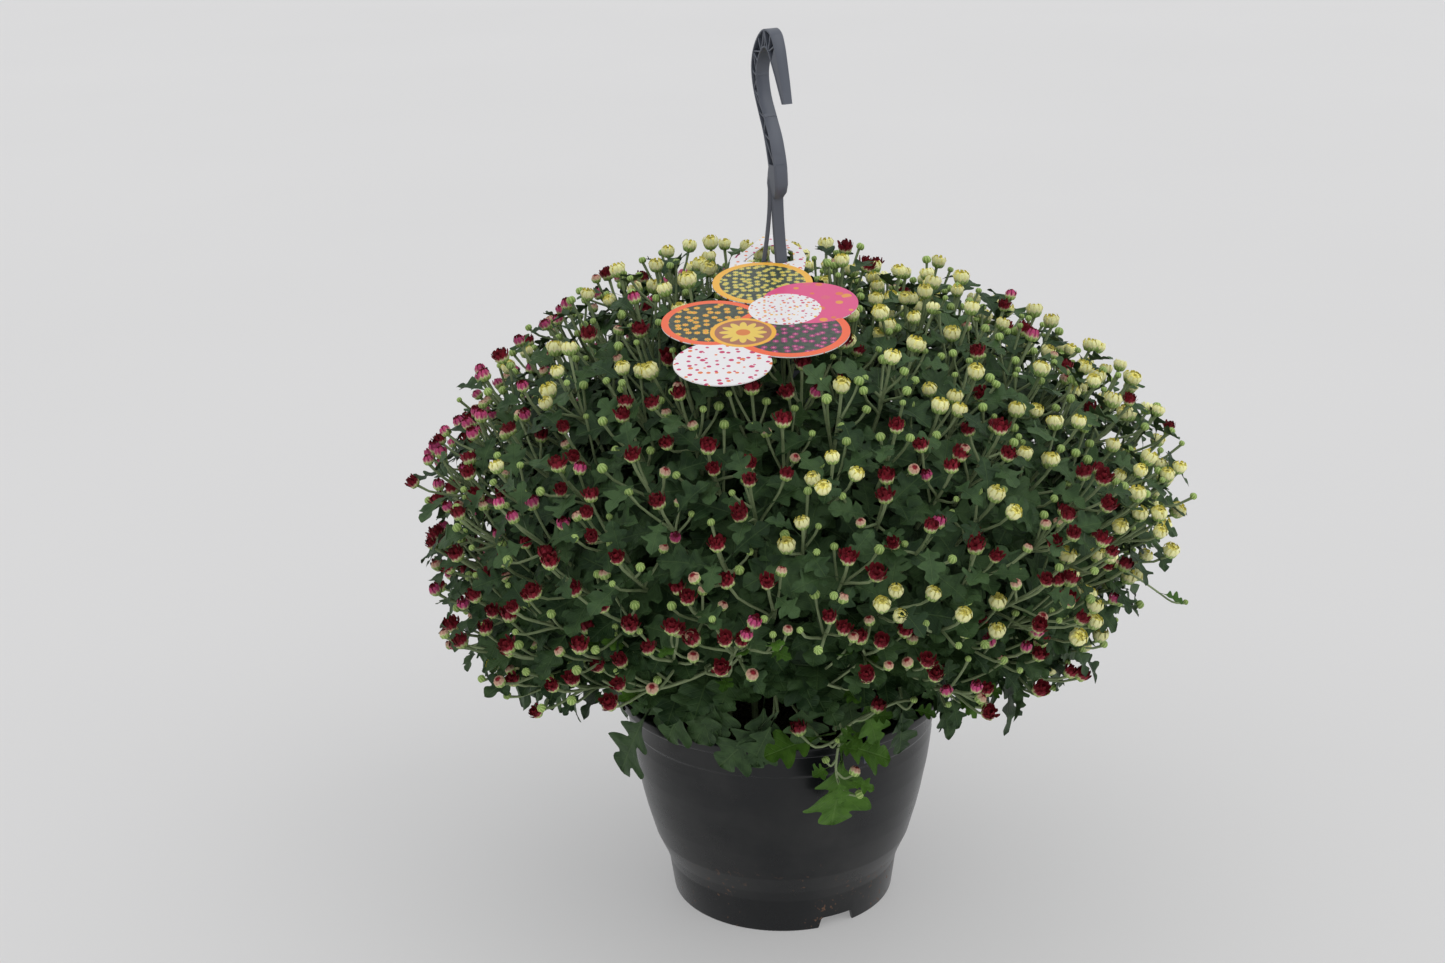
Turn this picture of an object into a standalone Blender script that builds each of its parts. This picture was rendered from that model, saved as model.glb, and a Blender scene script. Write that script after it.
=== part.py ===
"""Potted chrysanthemum: a dome of budded plants in a hanging pot, with a moulded hanger and a tag.

Metres, +Z up. The origin is on the standing plane, under the middle of the plants' spread. The
viewer stands on the -Y side. The pot's own axis is POT_X from the origin.
"""

import math
import random

import bmesh
import bpy
from mathutils import Matrix, Vector

# Driving dimensions
GAP = 0.0003
POT_X = -0.020
POT_HEIGHT = 0.186
FOOT_RADIUS = 0.0924
WAIST_RADIUS = 0.1000
WAIST_Z = 0.040
WALL_TOP_RADIUS = 0.1268
COLLAR_Z = 0.156
LIP_RADIUS = 0.1355
LIP_HEIGHT = 0.008
WALL = 0.0022
FLOOR_Z = 0.012
NOTCH_COUNT = 3
NOTCH_WIDTH = 0.034
NOTCH_HEIGHT = 0.010
NOTCH_AZIMUTH = -62.0
DRAIN_RADIUS = 0.005
DRAIN_RING = 0.074
SOIL_Z = 0.166

HOOK_TOP = 0.7174
JUNCTION_Z = 0.600
LEG_AZIMUTHS = (180.0, 300.0, 60.0)
HOOK_AZIMUTH = 300.0
LEG_WIDTH = 0.0096
LEG_THICKNESS = 0.0032
BAND_WIDTH = 0.0115
TIP_WIDTH = 0.0075
WEB_THICKNESS = 0.0030
LATTICE_RIB = 0.0014
CLIP_DROP = 0.016
CLIP_WIDTH = 0.0130

TAG_TILT = 10.0
TAG_Z = 0.542
TAG_THICKNESS = 0.0008
LOOP_OUTER = (0.031, 0.030)
LOOP_INNER = (0.0205, 0.0190)
LOOP_SLACK = 0.0002
TAG_DISCS = (
    (-0.010, -0.049, 0.038), (-0.046, -0.118, 0.038), (0.0105, -0.134, 0.043),
    (0.025, -0.086, 0.036), (-0.038, -0.185, 0.035),
)
STRAP_ROUTE = (
    (0.0035, 0.604), (0.0050, 0.570), (0.0120, 0.525), (0.0300, 0.460), (0.0640, 0.370),
    (0.1010, 0.275), (0.1385, 0.200), (0.1379, 0.177),
)

DOME_OUTLINE = (
    (0.000, 0.545), (0.100, 0.536), (0.190, 0.505), (0.255, 0.452),
    (0.294, 0.385), (0.302, 0.320), (0.284, 0.255), (0.225, 0.205),
)
CORE_DEPTH = 0.062
CORE_BOTTOM = 0.202
CORE_FOOT_RADIUS = 0.115
CORE_TOP_RADIUS = 0.030
PLANT_GAP = 0.0062
SPRAYS = 39
BUDS_PER_SPRAY = 3
LEAVES = 84
SKIRT_LEAVES = 17
SKIRT_RADIUS = 0.150
SKIRT_Z = 0.240
BUD_SIDES = 4
BUD_RADIUS = 0.0066
BUD_HEIGHT = 0.0125
LEAF_LENGTH = 0.072
LEAF_THICKNESS = 0.0009
STEM_RADIUS = 0.0034
STEM_RING = 0.070
STEM_DEPTH = 0.040
STEMS_PER_PLANT = 3
GOLDEN_ANGLE = math.pi * (3.0 - math.sqrt(5.0))
SEED = 11

# Worked out from the driving dimensions
LIP_Z = POT_HEIGHT - LIP_HEIGHT
COLLAR_RADIUS = WALL_TOP_RADIUS - 0.0015
INNER_TOP_RADIUS = WALL_TOP_RADIUS - WALL
POT_STEPS = 36
SOIL_STEPS = 20
HALF_WEDGE = math.radians(60.0)
SMOOTH_ANGLE = math.radians(35.0)
STEM_HOLE_RADIUS = STEM_RADIUS + 0.0009
PLANTS = (("plant_red", 240.0), ("plant_cream", 0.0), ("plant_pink", 120.0))


def clear_scene():
    """Remove every object, so that the script gives the same result each run."""
    for item in list(bpy.data.objects):
        bpy.data.objects.remove(item, do_unlink=True)


def material(name, colour, roughness, metallic=0.0):
    """Return a plain surface material."""
    surface = bpy.data.materials.new(name)
    surface.use_nodes = True
    shader = surface.node_tree.nodes["Principled BSDF"]
    shader.inputs["Base Color"].default_value = (*colour, 1.0)
    shader.inputs["Roughness"].default_value = roughness
    shader.inputs["Metallic"].default_value = metallic
    return surface


def add_object(name, vertices, faces, surface=None, collection=None):
    """Make one mesh object from points and faces."""
    mesh = bpy.data.meshes.new(name)
    mesh.from_pydata([tuple(vertex) for vertex in vertices], [], faces)
    if surface:
        mesh.materials.append(surface)
    item = bpy.data.objects.new(name, mesh)
    (collection or bpy.context.scene.collection).objects.link(item)
    return item


def cutter(name, vertices, faces, collection):
    """Make a closed cutting shape that the model itself doesn't show."""
    item = add_object(name, vertices, faces, collection=collection)
    item.hide_render = True
    item.display_type = "WIRE"
    return item


def boolean(item, collection, operation, solver="EXACT"):
    """Join or cut one object with a collection, apply it, and remove the collection's objects."""
    modifier = item.modifiers.new("boolean", "BOOLEAN")
    modifier.operation = operation
    modifier.operand_type = "COLLECTION"
    modifier.collection = collection
    modifier.solver = solver
    bpy.context.view_layer.update()
    graph = bpy.context.evaluated_depsgraph_get()
    result = bpy.data.meshes.new_from_object(item.evaluated_get(graph))
    item.modifiers.clear()
    item.data = result
    for piece in list(collection.objects):
        bpy.data.objects.remove(piece, do_unlink=True)
    bpy.data.collections.remove(collection)


def new_collection(name):
    """Return an empty collection linked to the scene."""
    collection = bpy.data.collections.new(name)
    bpy.context.scene.collection.children.link(collection)
    return collection


def keep_main_body(item):
    """Keep the largest connected body and drop loose scraps and sealed hollows."""
    work = bmesh.new()
    work.from_mesh(item.data)
    bmesh.ops.dissolve_degenerate(work, edges=work.edges, dist=1e-6)
    remaining = set(work.faces)
    bodies = []
    while remaining:
        body = {remaining.pop()}
        front = list(body)
        while front:
            face = front.pop()
            for edge in face.edges:
                for other in edge.link_faces:
                    if other in remaining:
                        remaining.remove(other)
                        body.add(other)
                        front.append(other)
        bodies.append(body)
    bodies.sort(key=len, reverse=True)
    for body in bodies[1:]:
        bmesh.ops.delete(work, geom=list(body), context="FACES")
    loose = [vertex for vertex in work.verts if not vertex.link_faces]
    bmesh.ops.delete(work, geom=loose, context="VERTS")
    work.to_mesh(item.data)
    work.free()


def smooth(item):
    """Shade round shapes smooth and keep their hard edges."""
    item.data.shade_smooth()
    item.data.set_sharp_from_angle(angle=SMOOTH_ANGLE)


def disc_solid(name, profile, steps, surface=None, collection=None):
    """Turn an open profile of (radius, height), bottom to top, and close both its ends."""
    count = len(profile)
    vertices = []
    for step in range(steps):
        angle = 2.0 * math.pi * step / steps
        vertices += [(r * math.cos(angle), r * math.sin(angle), z) for r, z in profile]
    faces = []
    for step in range(steps):
        here = step * count
        there = (step + 1) % steps * count
        for k in range(count - 1):
            faces.append((here + k, there + k, there + k + 1, here + k + 1))
    faces.append(tuple(reversed([step * count for step in range(steps)])))
    faces.append(tuple(step * count + count - 1 for step in range(steps)))
    return add_object(name, vertices, faces, surface, collection)


def prism(outline, direction):
    """Return the points and faces of a flat outline pushed along a direction."""
    count = len(outline)
    push = Vector(direction)
    vertices = [Vector(p) for p in outline] + [Vector(p) + push for p in outline]
    faces = [tuple(reversed(range(count))), tuple(range(count, 2 * count))]
    faces += [(k, (k + 1) % count, count + (k + 1) % count, count + k) for k in range(count)]
    return vertices, faces


def polar(radius, degrees, z=0.0):
    """Return the point at a radius and an azimuth."""
    angle = math.radians(degrees)
    return Vector((radius * math.cos(angle), radius * math.sin(angle), z))


def smooth_curve(points, steps):
    """Return points along a Catmull-Rom curve through the given ones."""
    ends = [2 * points[0] - points[1]] + list(points) + [2 * points[-1] - points[-2]]
    route = []
    for k in range(len(points) - 1):
        a, b, c, d = ends[k:k + 4]
        for step in range(steps):
            t = step / steps
            route.append(
                0.5 * (2 * b + (c - a) * t + (2 * a - 5 * b + 4 * c - d) * t * t
                       + (3 * b - a - 3 * c + d) * t ** 3)
            )
    return route + [points[-1]]


# Pot

def pot_outer():
    """Return the pot's outer profile, from the foot up to the top of the lip."""
    return [
        (FOOT_RADIUS, 0.0),
        (WAIST_RADIUS - 0.0035, WAIST_Z - 0.010),
        (WAIST_RADIUS, WAIST_Z),
        (WAIST_RADIUS + 0.0072, WAIST_Z + 0.016),
        (0.1138, 0.080),
        (0.1196, 0.108),
        (0.1240, 0.134),
        (COLLAR_RADIUS, 0.146),
        (COLLAR_RADIUS, COLLAR_Z),
        (WALL_TOP_RADIUS, COLLAR_Z + 0.0015),
        (WALL_TOP_RADIUS, LIP_Z - 0.002),
        (LIP_RADIUS - 0.001, LIP_Z - 0.001),
        (LIP_RADIUS, LIP_Z + 0.001),
        (LIP_RADIUS, POT_HEIGHT - 0.0015),
        (LIP_RADIUS - 0.0015, POT_HEIGHT),
    ]


def pot_inner():
    """Return the pot's inner profile, from the top of the lip down and round the raised floor."""
    return [
        (INNER_TOP_RADIUS + 0.001, POT_HEIGHT),
        (INNER_TOP_RADIUS, POT_HEIGHT - 0.0015),
        (INNER_TOP_RADIUS - 0.002, COLLAR_Z),
        (0.1240 - WALL, 0.134),
        (0.1138 - WALL, 0.080),
        (WAIST_RADIUS + 0.0050, WAIST_Z + 0.016),
        (WAIST_RADIUS - WALL, WAIST_Z),
        (FOOT_RADIUS + 0.0010 - WALL, FLOOR_Z + WALL),
    ]


def build_pot(surface):
    """Build the pot as one moulded shell with its foot notches and drainage holes."""
    foot_inner = FOOT_RADIUS - 0.0030
    outer = pot_outer()
    rings = outer + pot_inner()
    steps = POT_STEPS
    vertices = []
    faces = []
    closed = rings + [(foot_inner, FLOOR_Z), (foot_inner, 0.0)]
    count = len(closed)
    for step in range(steps):
        angle = 2.0 * math.pi * step / steps
        vertices += [(r * math.cos(angle), r * math.sin(angle), z) for r, z in closed]
    floor_top = len(rings) - 1
    for step in range(steps):
        here = step * count
        there = (step + 1) % steps * count
        for k in range(count):
            after = (k + 1) % count
            if k == floor_top:
                continue
            faces.append((here + k, there + k, there + after, here + after))
    faces.append(tuple(step * count + floor_top for step in range(steps)))
    faces.append(tuple(reversed([step * count + floor_top + 1 for step in range(steps)])))
    pot = add_object("pot", vertices, faces, surface)
    cuts = new_collection("pot_cuts")
    for k in range(NOTCH_COUNT):
        azimuth = NOTCH_AZIMUTH + 360.0 * k / NOTCH_COUNT
        turn = Matrix.Rotation(math.radians(azimuth), 4, "Z")
        half = NOTCH_WIDTH / 2
        near = foot_inner - 0.010
        outline = [
            Vector((near, -half, -0.004)), Vector((near, half, -0.004)),
            Vector((near, half - 0.004, NOTCH_HEIGHT)), Vector((near, -half + 0.004, NOTCH_HEIGHT)),
        ]
        points, sides = prism(outline, (0.030, 0.0, 0.0))
        cutter("notch", [turn @ point for point in points], sides, cuts)
        for side in (-20.0, 20.0):
            place = polar(DRAIN_RING, azimuth + side)
            hole = disc_solid("drain", [(DRAIN_RADIUS, 0.006), (DRAIN_RADIUS, 0.022)], 10,
                              collection=cuts)
            hole.location = place
    boolean(pot, cuts, "DIFFERENCE")
    pot.location = (POT_X, 0.0, 0.0)
    smooth(pot)
    return pot


def build_soil(surface):
    """Build the soil that fills the pot, with a plain hole for each woody stem."""
    inner = pot_inner()
    floor_radius = inner[-1][0] - GAP * 2
    profile = [(floor_radius - 0.002, FLOOR_Z + WALL + GAP), (floor_radius, FLOOR_Z + WALL + 0.003)]
    for radius, z in reversed(inner[2:-1]):
        profile.append((radius - GAP * 3, z))
    profile.append((INNER_TOP_RADIUS - 0.0035, SOIL_Z - 0.004))
    profile.append((0.090, SOIL_Z))
    soil = disc_solid("soil", profile, SOIL_STEPS, surface)
    cuts = new_collection("soil_cuts")
    for azimuth in (plant[1] for plant in PLANTS):
        for place in stem_places(azimuth):
            hole = disc_solid("hole", [(STEM_HOLE_RADIUS, SOIL_Z - STEM_DEPTH - 0.002),
                                       (STEM_HOLE_RADIUS, SOIL_Z + 0.01)], 6, collection=cuts)
            hole.location = place
    boolean(soil, cuts, "DIFFERENCE")
    soil.location = (POT_X, 0.0, 0.0)
    smooth(soil)
    return soil


# Hanger

def hook_edges():
    """Return the hook's back and front edges in its own plane, from the neck up and over to the tip."""
    back = [
        (0.0015, JUNCTION_Z), (0.0005, 0.614), (-0.0065, 0.638), (-0.0140, 0.654),
        (-0.0210, 0.670), (-0.0240, 0.685), (-0.0215, 0.699), (-0.0140, 0.711),
        (-0.0045, HOOK_TOP), (0.0045, 0.7150), (0.0100, 0.7060), (0.0140, 0.694),
        (0.0180, 0.680), (0.0220, 0.664),
    ]
    front = [
        (0.0095, JUNCTION_Z), (0.0100, 0.614), (0.0040, 0.634), (-0.0045, 0.650),
        (-0.0125, 0.665), (-0.0160, 0.680), (-0.0140, 0.691), (-0.0090, 0.700),
        (-0.0040, 0.7035), (0.0005, 0.7010), (0.0045, 0.6930), (0.0090, 0.684),
        (0.0135, 0.674), (0.0182, 0.6635),
    ]
    return [Vector((u, 0.0, z)) for u, z in back], [Vector((u, 0.0, z)) for u, z in front]


def inset_triangle(corners, distance):
    """Return a triangle drawn in from its sides by a distance, or None when it is too small."""
    lengths = [(corners[(k + 1) % 3] - corners[(k + 2) % 3]).length for k in range(3)]
    around = sum(lengths)
    centre = sum((corner * size for corner, size in zip(corners, lengths)), Vector()) / around
    area = (corners[1] - corners[0]).cross(corners[2] - corners[0]).length / 2
    radius = 2 * area / around
    if radius < distance + 0.0005:
        return None
    return [centre + (corner - centre) * (radius - distance) / radius for corner in corners]


def hook_solid():
    """Return the hook's points and faces, and the cutters that leave its lattice."""
    back, front = hook_edges()
    widths = []
    last = len(back) - 1
    for k in range(last + 1):
        share = k / last
        widths.append(BAND_WIDTH + (TIP_WIDTH - BAND_WIDTH) * max(0.0, share - 0.6) / 0.4)
    vertices = []
    for side in (-1.0, 1.0):
        for edge in (back, front):
            vertices += [point + Vector((0.0, side * width / 2, 0.0))
                         for point, width in zip(edge, widths)]
    count = last + 1
    back_low, front_low, back_high, front_high = 0, count, 2 * count, 3 * count
    faces = [(back_low, front_low, front_high, back_high)]
    for k in range(last):
        faces.append((back_low + k, back_low + k + 1, front_low + k + 1, front_low + k))
        faces.append((back_high + k, front_high + k, front_high + k + 1, back_high + k + 1))
        faces.append((back_low + k, back_high + k, back_high + k + 1, back_low + k + 1))
        faces.append((front_low + k, front_low + k + 1, front_high + k + 1, front_high + k))
    faces.append((back_low + last, back_high + last, front_high + last, front_low + last))
    pockets = []
    for k in range(1, last - 3):
        a, b, c, d = back[k], back[k + 1], front[k], front[k + 1]
        pair = ((a, b, d), (a, d, c)) if k % 2 else ((a, b, c), (b, d, c))
        for corners in pair:
            inner = inset_triangle(corners, LATTICE_RIB / 2 + 0.0004)
            if inner:
                pockets.append(inner)
    return vertices, faces, pockets


def leg_route(azimuth):
    """Return the middle line of one strap, from the neck down to the pot's lip."""
    return smooth_curve([polar(r, azimuth, z) for r, z in STRAP_ROUTE], 2)


def build_hanger(surface):
    """Build the hanger as one piece: latticed hook, neck, three straps and their clips."""
    vertices, faces, pockets = hook_solid()
    turn = Matrix.Rotation(math.radians(HOOK_AZIMUTH), 4, "Z")
    hanger = add_object("hanger", [turn @ vertex for vertex in vertices], faces, surface)
    cuts = new_collection("lattice_cuts")
    for outline in pockets:
        for side in (-1.0, 1.0):
            start = [point + Vector((0.0, side * WEB_THICKNESS / 2, 0.0)) for point in outline]
            points, sides = prism(start, (0.0, side * BAND_WIDTH, 0.0))
            piece = cutter("pocket", [turn @ point for point in points], sides, cuts)
            face_out(piece)
    face_out(hanger)
    boolean(hanger, cuts, "DIFFERENCE")
    joins = new_collection("hanger_joins")
    neck = disc_solid("neck", [(0.0062, JUNCTION_Z - 0.006), (0.0075, JUNCTION_Z),
                               (0.0068, JUNCTION_Z + 0.014)], 8, collection=joins)
    neck.location = polar(0.0045, HOOK_AZIMUTH)
    for azimuth in LEG_AZIMUTHS:
        add_strap(azimuth, joins)
    boolean(hanger, joins, "UNION")
    keep_main_body(hanger)
    hanger.location = (POT_X, 0.0, 0.0)
    smooth(hanger)
    return hanger


def add_strap(azimuth, collection):
    """Add one strap with the clip that grips under the pot's lip."""
    route = leg_route(azimuth)
    side = polar(1.0, azimuth + 90.0)
    vertices = []
    for k, point in enumerate(route):
        before = route[max(k - 1, 0)]
        after = route[min(k + 1, len(route) - 1)]
        along = (after - before).normalized()
        out = side.cross(along).normalized()
        for across, thick in ((-1, -1), (1, -1), (1, 1), (-1, 1)):
            vertices.append(point + side * across * LEG_WIDTH / 2 + out * thick * LEG_THICKNESS / 2)
    faces = [(0, 1, 2, 3)]
    for k in range(len(route) - 1):
        for j in range(4):
            a, b = 4 * k + j, 4 * k + (j + 1) % 4
            faces.append((a, a + 4, b + 4, b))
    end = 4 * (len(route) - 1)
    faces.append((end + 3, end + 2, end + 1, end))
    strap = add_object("strap", vertices, faces, collection=collection)
    face_out(strap)
    grip_top = LIP_Z - 0.002 - GAP
    inner = WALL_TOP_RADIUS + GAP * 2
    outer = LIP_RADIUS + 0.0042
    grip = [(inner, grip_top), (inner, grip_top - 0.003), (outer, grip_top - CLIP_DROP * 0.5),
            (outer, LIP_Z + 0.006), (LIP_RADIUS + GAP * 2, LIP_Z + 0.006),
            (LIP_RADIUS + GAP * 2, grip_top)]
    outline = [polar(r, azimuth, z) - side * CLIP_WIDTH / 2 for r, z in grip]
    points, sides = prism(outline, side * CLIP_WIDTH)
    clip = add_object("clip", points, sides, collection=collection)
    face_out(clip)


def face_out(item):
    """Turn every face of a closed shape to point outwards."""
    work = bmesh.new()
    work.from_mesh(item.data)
    bmesh.ops.recalc_face_normals(work, faces=work.faces)
    work.to_mesh(item.data)
    work.free()


# Tag

def loop_middle():
    """Return how far behind the pot's axis the loop's middle lies, its front edge on the front strap."""
    route = leg_route(0.0)
    for a, b in zip(route, route[1:]):
        if b.z <= TAG_Z - 0.004:
            part = (a.z - (TAG_Z - 0.004)) / (a.z - b.z)
            radius = a.lerp(b, part).x
            break
    corner = (radius + LEG_THICKNESS / 2) * math.sin(HALF_WEDGE) + LEG_WIDTH / 2 * math.cos(HALF_WEDGE)
    return LOOP_INNER[1] - corner - GAP - LOOP_SLACK


def build_tag(surface):
    """Build the tag: overlapping discs and a loop, cut from one flat card."""
    tag = add_card_disc("tag", *TAG_DISCS[0], surface)
    joins = new_collection("tag_discs")
    for x, y, radius in TAG_DISCS[1:]:
        add_card_disc("disc", x, y, radius, collection=joins)
    middle = loop_middle()
    loop = ellipse_outline(0.0, middle, *LOOP_OUTER, 24)
    points, sides = prism(loop, (0.0, 0.0, TAG_THICKNESS))
    add_object("loop", points, sides, collection=joins)
    boolean(tag, joins, "UNION")
    cuts = new_collection("tag_cut")
    hole = ellipse_outline(0.0, middle, *LOOP_INNER, 20, z=-0.004)
    points, sides = prism(hole, (0.0, 0.0, 0.010))
    cutter("loop_hole", points, sides, cuts)
    boolean(tag, cuts, "DIFFERENCE")
    keep_main_body(tag)
    tag.rotation_euler = (math.radians(TAG_TILT), 0.0, 0.0)
    tag.location = (POT_X, 0.0, TAG_Z)
    return tag


def ellipse_outline(x, y, across, along, count, z=0.0):
    """Return the points of an ellipse in a level plane."""
    step = 2.0 * math.pi / count
    return [Vector((x + across * math.cos(k * step), y + along * math.sin(k * step), z))
            for k in range(count)]


def add_card_disc(name, x, y, radius, surface=None, collection=None):
    """Add one disc of the card."""
    points, sides = prism(ellipse_outline(x, y, radius, radius, 28), (0.0, 0.0, TAG_THICKNESS))
    return add_object(name, points, sides, surface, collection)


# Plants

def dome_point(share):
    """Return radius, height and outward slope of the dome, at a share of its area from the top."""
    curve = smooth_curve([Vector((r, z, 0.0)) for r, z in DOME_OUTLINE], 8)
    areas = [0.0]
    for a, b in zip(curve, curve[1:]):
        areas.append(areas[-1] + (b - a).length * (a.x + b.x) / 2)
    target = share * areas[-1]
    for k in range(len(curve) - 1):
        if areas[k + 1] >= target:
            part = (target - areas[k]) / (areas[k + 1] - areas[k])
            point = curve[k].lerp(curve[k + 1], part)
            along = (curve[k + 1] - curve[k]).normalized()
            return point.x, point.y, Vector((-along.y, along.x))
    raise ValueError("share is past the dome's edge")


def stem_places(azimuth):
    """Return where one plant's woody stems stand in the soil, about the pot's axis."""
    places = []
    for k in range(STEMS_PER_PLANT):
        turn = 360.0 * k / STEMS_PER_PLANT + azimuth
        places.append(polar(STEM_RING, azimuth) + polar(0.014, turn))
    return places


def wedge_walls(azimuth):
    """Return the inward normals of the two upright planes that bound one plant."""
    return [polar(1.0, azimuth + side * (60.0 - 90.0)) for side in (-1.0, 1.0)]


def wedge_margin(points, azimuth):
    """Return the least distance of some points, taken from the pot's axis, inside a plant's wedge."""
    walls = wedge_walls(azimuth)
    axis = Vector((POT_X, 0.0, 0.0))
    return min((Vector(point) - axis).dot(wall) for point in points for wall in walls)


def under_tag(point):
    """Return how far a point is above the tag's lower clearance plane, or None when it is beside it."""
    x = point.x - POT_X
    y = point.y
    slope = math.tan(math.radians(TAG_TILT))
    discs = TAG_DISCS + ((0.0, 0.006, LOOP_OUTER[0]),)
    for disc_x, disc_y, radius in discs:
        if math.hypot(x - disc_x, y - disc_y) < radius + 0.014:
            return point.z - (TAG_Z + slope * y - 0.003)
    return None


def plant_of(point):
    """Return the azimuth of the plant whose wedge holds a point."""
    angle = math.degrees(math.atan2(point.y, point.x - POT_X)) % 360.0
    return min((plant[1] for plant in PLANTS),
               key=lambda azimuth: abs((angle - azimuth + 180.0) % 360.0 - 180.0))


def fits(points, azimuth):
    """Say whether a shape stays in its own plant's wedge, off the pot, the tag and the straps."""
    if wedge_margin(points, azimuth) < GAP * 2:
        return False
    for point in points:
        reach = math.hypot(point.x - POT_X, point.y)
        lift = under_tag(point)
        if lift is not None and lift > 0.0:
            return False
        if reach < LIP_RADIUS + 0.010 and point.z < POT_HEIGHT + 0.003:
            return False
        if reach < 0.055 and wedge_margin([point], azimuth) < PLANT_GAP:
            return False
        if point.z < POT_HEIGHT + 0.04 and wedge_margin([point], azimuth) < PLANT_GAP:
            return False
    return True


def core_profile():
    """Return the core's profile of (radius, height), from its foot out and up to its top."""
    profile = [(CORE_FOOT_RADIUS, CORE_BOTTOM)]
    for share in (0.97, 0.80, 0.58, 0.36, 0.16):
        radius, z, normal = dome_point(share)
        profile.append((radius - normal.x * CORE_DEPTH, z - normal.y * CORE_DEPTH))
    profile.append((CORE_TOP_RADIUS, DOME_OUTLINE[0][1] - CORE_DEPTH))
    return profile


def on_ring(start, angle, radius):
    """Return where a level ray from the wedge's corner meets a ring of the core."""
    ray = polar(1.0, angle)
    share = min(1.0, radius / 0.16)
    middle = Vector((POT_X * (1.0 - share), 0.0, 0.0))
    offset = start - middle
    along = offset.dot(ray)
    return start + ray * (-along + math.sqrt(max(0.0, along * along + radius ** 2 - offset.length_squared)))


def build_core(name, azimuth, surface):
    """Build one plant's core of crowded stems: a wedge of the dome, clear of the straps."""
    columns = 7
    corner = Vector((POT_X, 0.0, 0.0)) + polar(PLANT_GAP / math.sin(HALF_WEDGE), azimuth)
    profile = core_profile()
    vertices = []
    for radius, z in profile:
        for k in range(columns):
            angle = azimuth + math.degrees(HALF_WEDGE) * (2.0 * k / (columns - 1) - 1.0)
            vertices.append(on_ring(corner, angle, radius) + Vector((0.0, 0.0, z)))
    low = len(vertices)
    high = low + 1
    vertices.append(corner + Vector((0.0, 0.0, profile[0][1])))
    vertices.append(corner + Vector((0.0, 0.0, profile[-1][1])))
    rows = len(profile)
    faces = []
    for row in range(rows - 1):
        for k in range(columns - 1):
            a = row * columns + k
            faces.append((a, a + 1, a + columns + 1, a + columns))
    last = (rows - 1) * columns
    for k in range(columns - 1):
        faces.append((low, k + 1, k))
        faces.append((high, last + k, last + k + 1))
    for side in (0, columns - 1):
        faces.append((low, *[row * columns + side for row in range(rows)], high))
    core = add_object(name, vertices, faces, surface)
    face_out(core)
    return core


def frame_for(direction, roll):
    """Return a turn that takes +Z to a direction, after a roll about it."""
    return Vector(direction).to_track_quat("Z", "Y").to_matrix() @ Matrix.Rotation(roll, 3, "Z")


def bud_shape(root, tip, size):
    """Return a flower bud on its stalk: points and faces."""
    along = (tip - root).normalized()
    turn = frame_for(along, 0.3)
    length = (tip - root).length
    height = BUD_HEIGHT * size
    rings = ((0.0011, 0.0), (0.0010, length - height), (BUD_RADIUS * size, length - height * 0.55),
             (BUD_RADIUS * size * 0.72, length - height * 0.12))
    vertices = []
    for radius, z in rings:
        for k in range(BUD_SIDES):
            angle = 2.0 * math.pi * k / BUD_SIDES
            spot = Vector((radius * math.cos(angle), radius * math.sin(angle), z))
            vertices.append(root + turn @ spot)
    vertices.append(tip)
    faces = [tuple(reversed(range(BUD_SIDES)))]
    for ring in range(len(rings) - 1):
        for k in range(BUD_SIDES):
            a = ring * BUD_SIDES + k
            b = ring * BUD_SIDES + (k + 1) % BUD_SIDES
            faces.append((a, b, b + BUD_SIDES, a + BUD_SIDES))
    last = (len(rings) - 1) * BUD_SIDES
    for k in range(BUD_SIDES):
        faces.append((last + k, last + (k + 1) % BUD_SIDES, len(vertices) - 1))
    return vertices, faces


def stalk_shape(start, end, radius_start, radius_end, sides=3):
    """Return a tapered stalk between two points: points and faces."""
    turn = frame_for((end - start).normalized(), 0.0)
    vertices = []
    for place, radius in ((start, radius_start), (end, radius_end)):
        for k in range(sides):
            angle = 2.0 * math.pi * k / sides
            vertices.append(place + turn @ Vector((radius * math.cos(angle),
                                                   radius * math.sin(angle), 0.0)))
    faces = [tuple(reversed(range(sides))), tuple(range(sides, 2 * sides))]
    for k in range(sides):
        after = (k + 1) % sides
        faces.append((k, after, sides + after, sides + k))
    return vertices, faces


LEAF_STALK = 0.30
LEAF_HALF = ((-LEAF_STALK, 0.030), (0.20, 0.30), (0.40, 0.14), (0.60, 0.37), (0.76, 0.15))


def leaf_shape(base, along, up, length, fold):
    """Return a lobed leaf, folded along its rib: points and faces."""
    along = along.normalized()
    side = along.cross(up).normalized()
    normal = side.cross(along).normalized()
    points = [(-LEAF_STALK, 0.0)] + list(LEAF_HALF) + [(1.0, 0.0)]
    points += [(x, -y) for x, y in reversed(LEAF_HALF)]
    layers = []
    for level in (-0.5, 0.5):
        for x, y in points:
            lift = level * LEAF_THICKNESS + abs(y) * fold * length
            layers.append(base + along * (x + LEAF_STALK) * length + side * y * length + normal * lift)
    count = len(points)
    tip = 1 + len(LEAF_HALF)
    left = [0] + list(range(1, tip + 1))
    right = [0, tip] + list(range(tip + 1, count))
    faces = [tuple(left), tuple(right)]
    faces += [tuple(count + k for k in reversed(left)), tuple(count + k for k in reversed(right))]
    for k in range(count):
        after = (k + 1) % count
        faces.append((k, after, count + after, count + k))
    return layers, faces


def add_piece(shape, collection):
    """Add one closed shape to a plant's collection, facing out."""
    item = add_object("piece", shape[0], shape[1], collection=collection)
    face_out(item)


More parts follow.
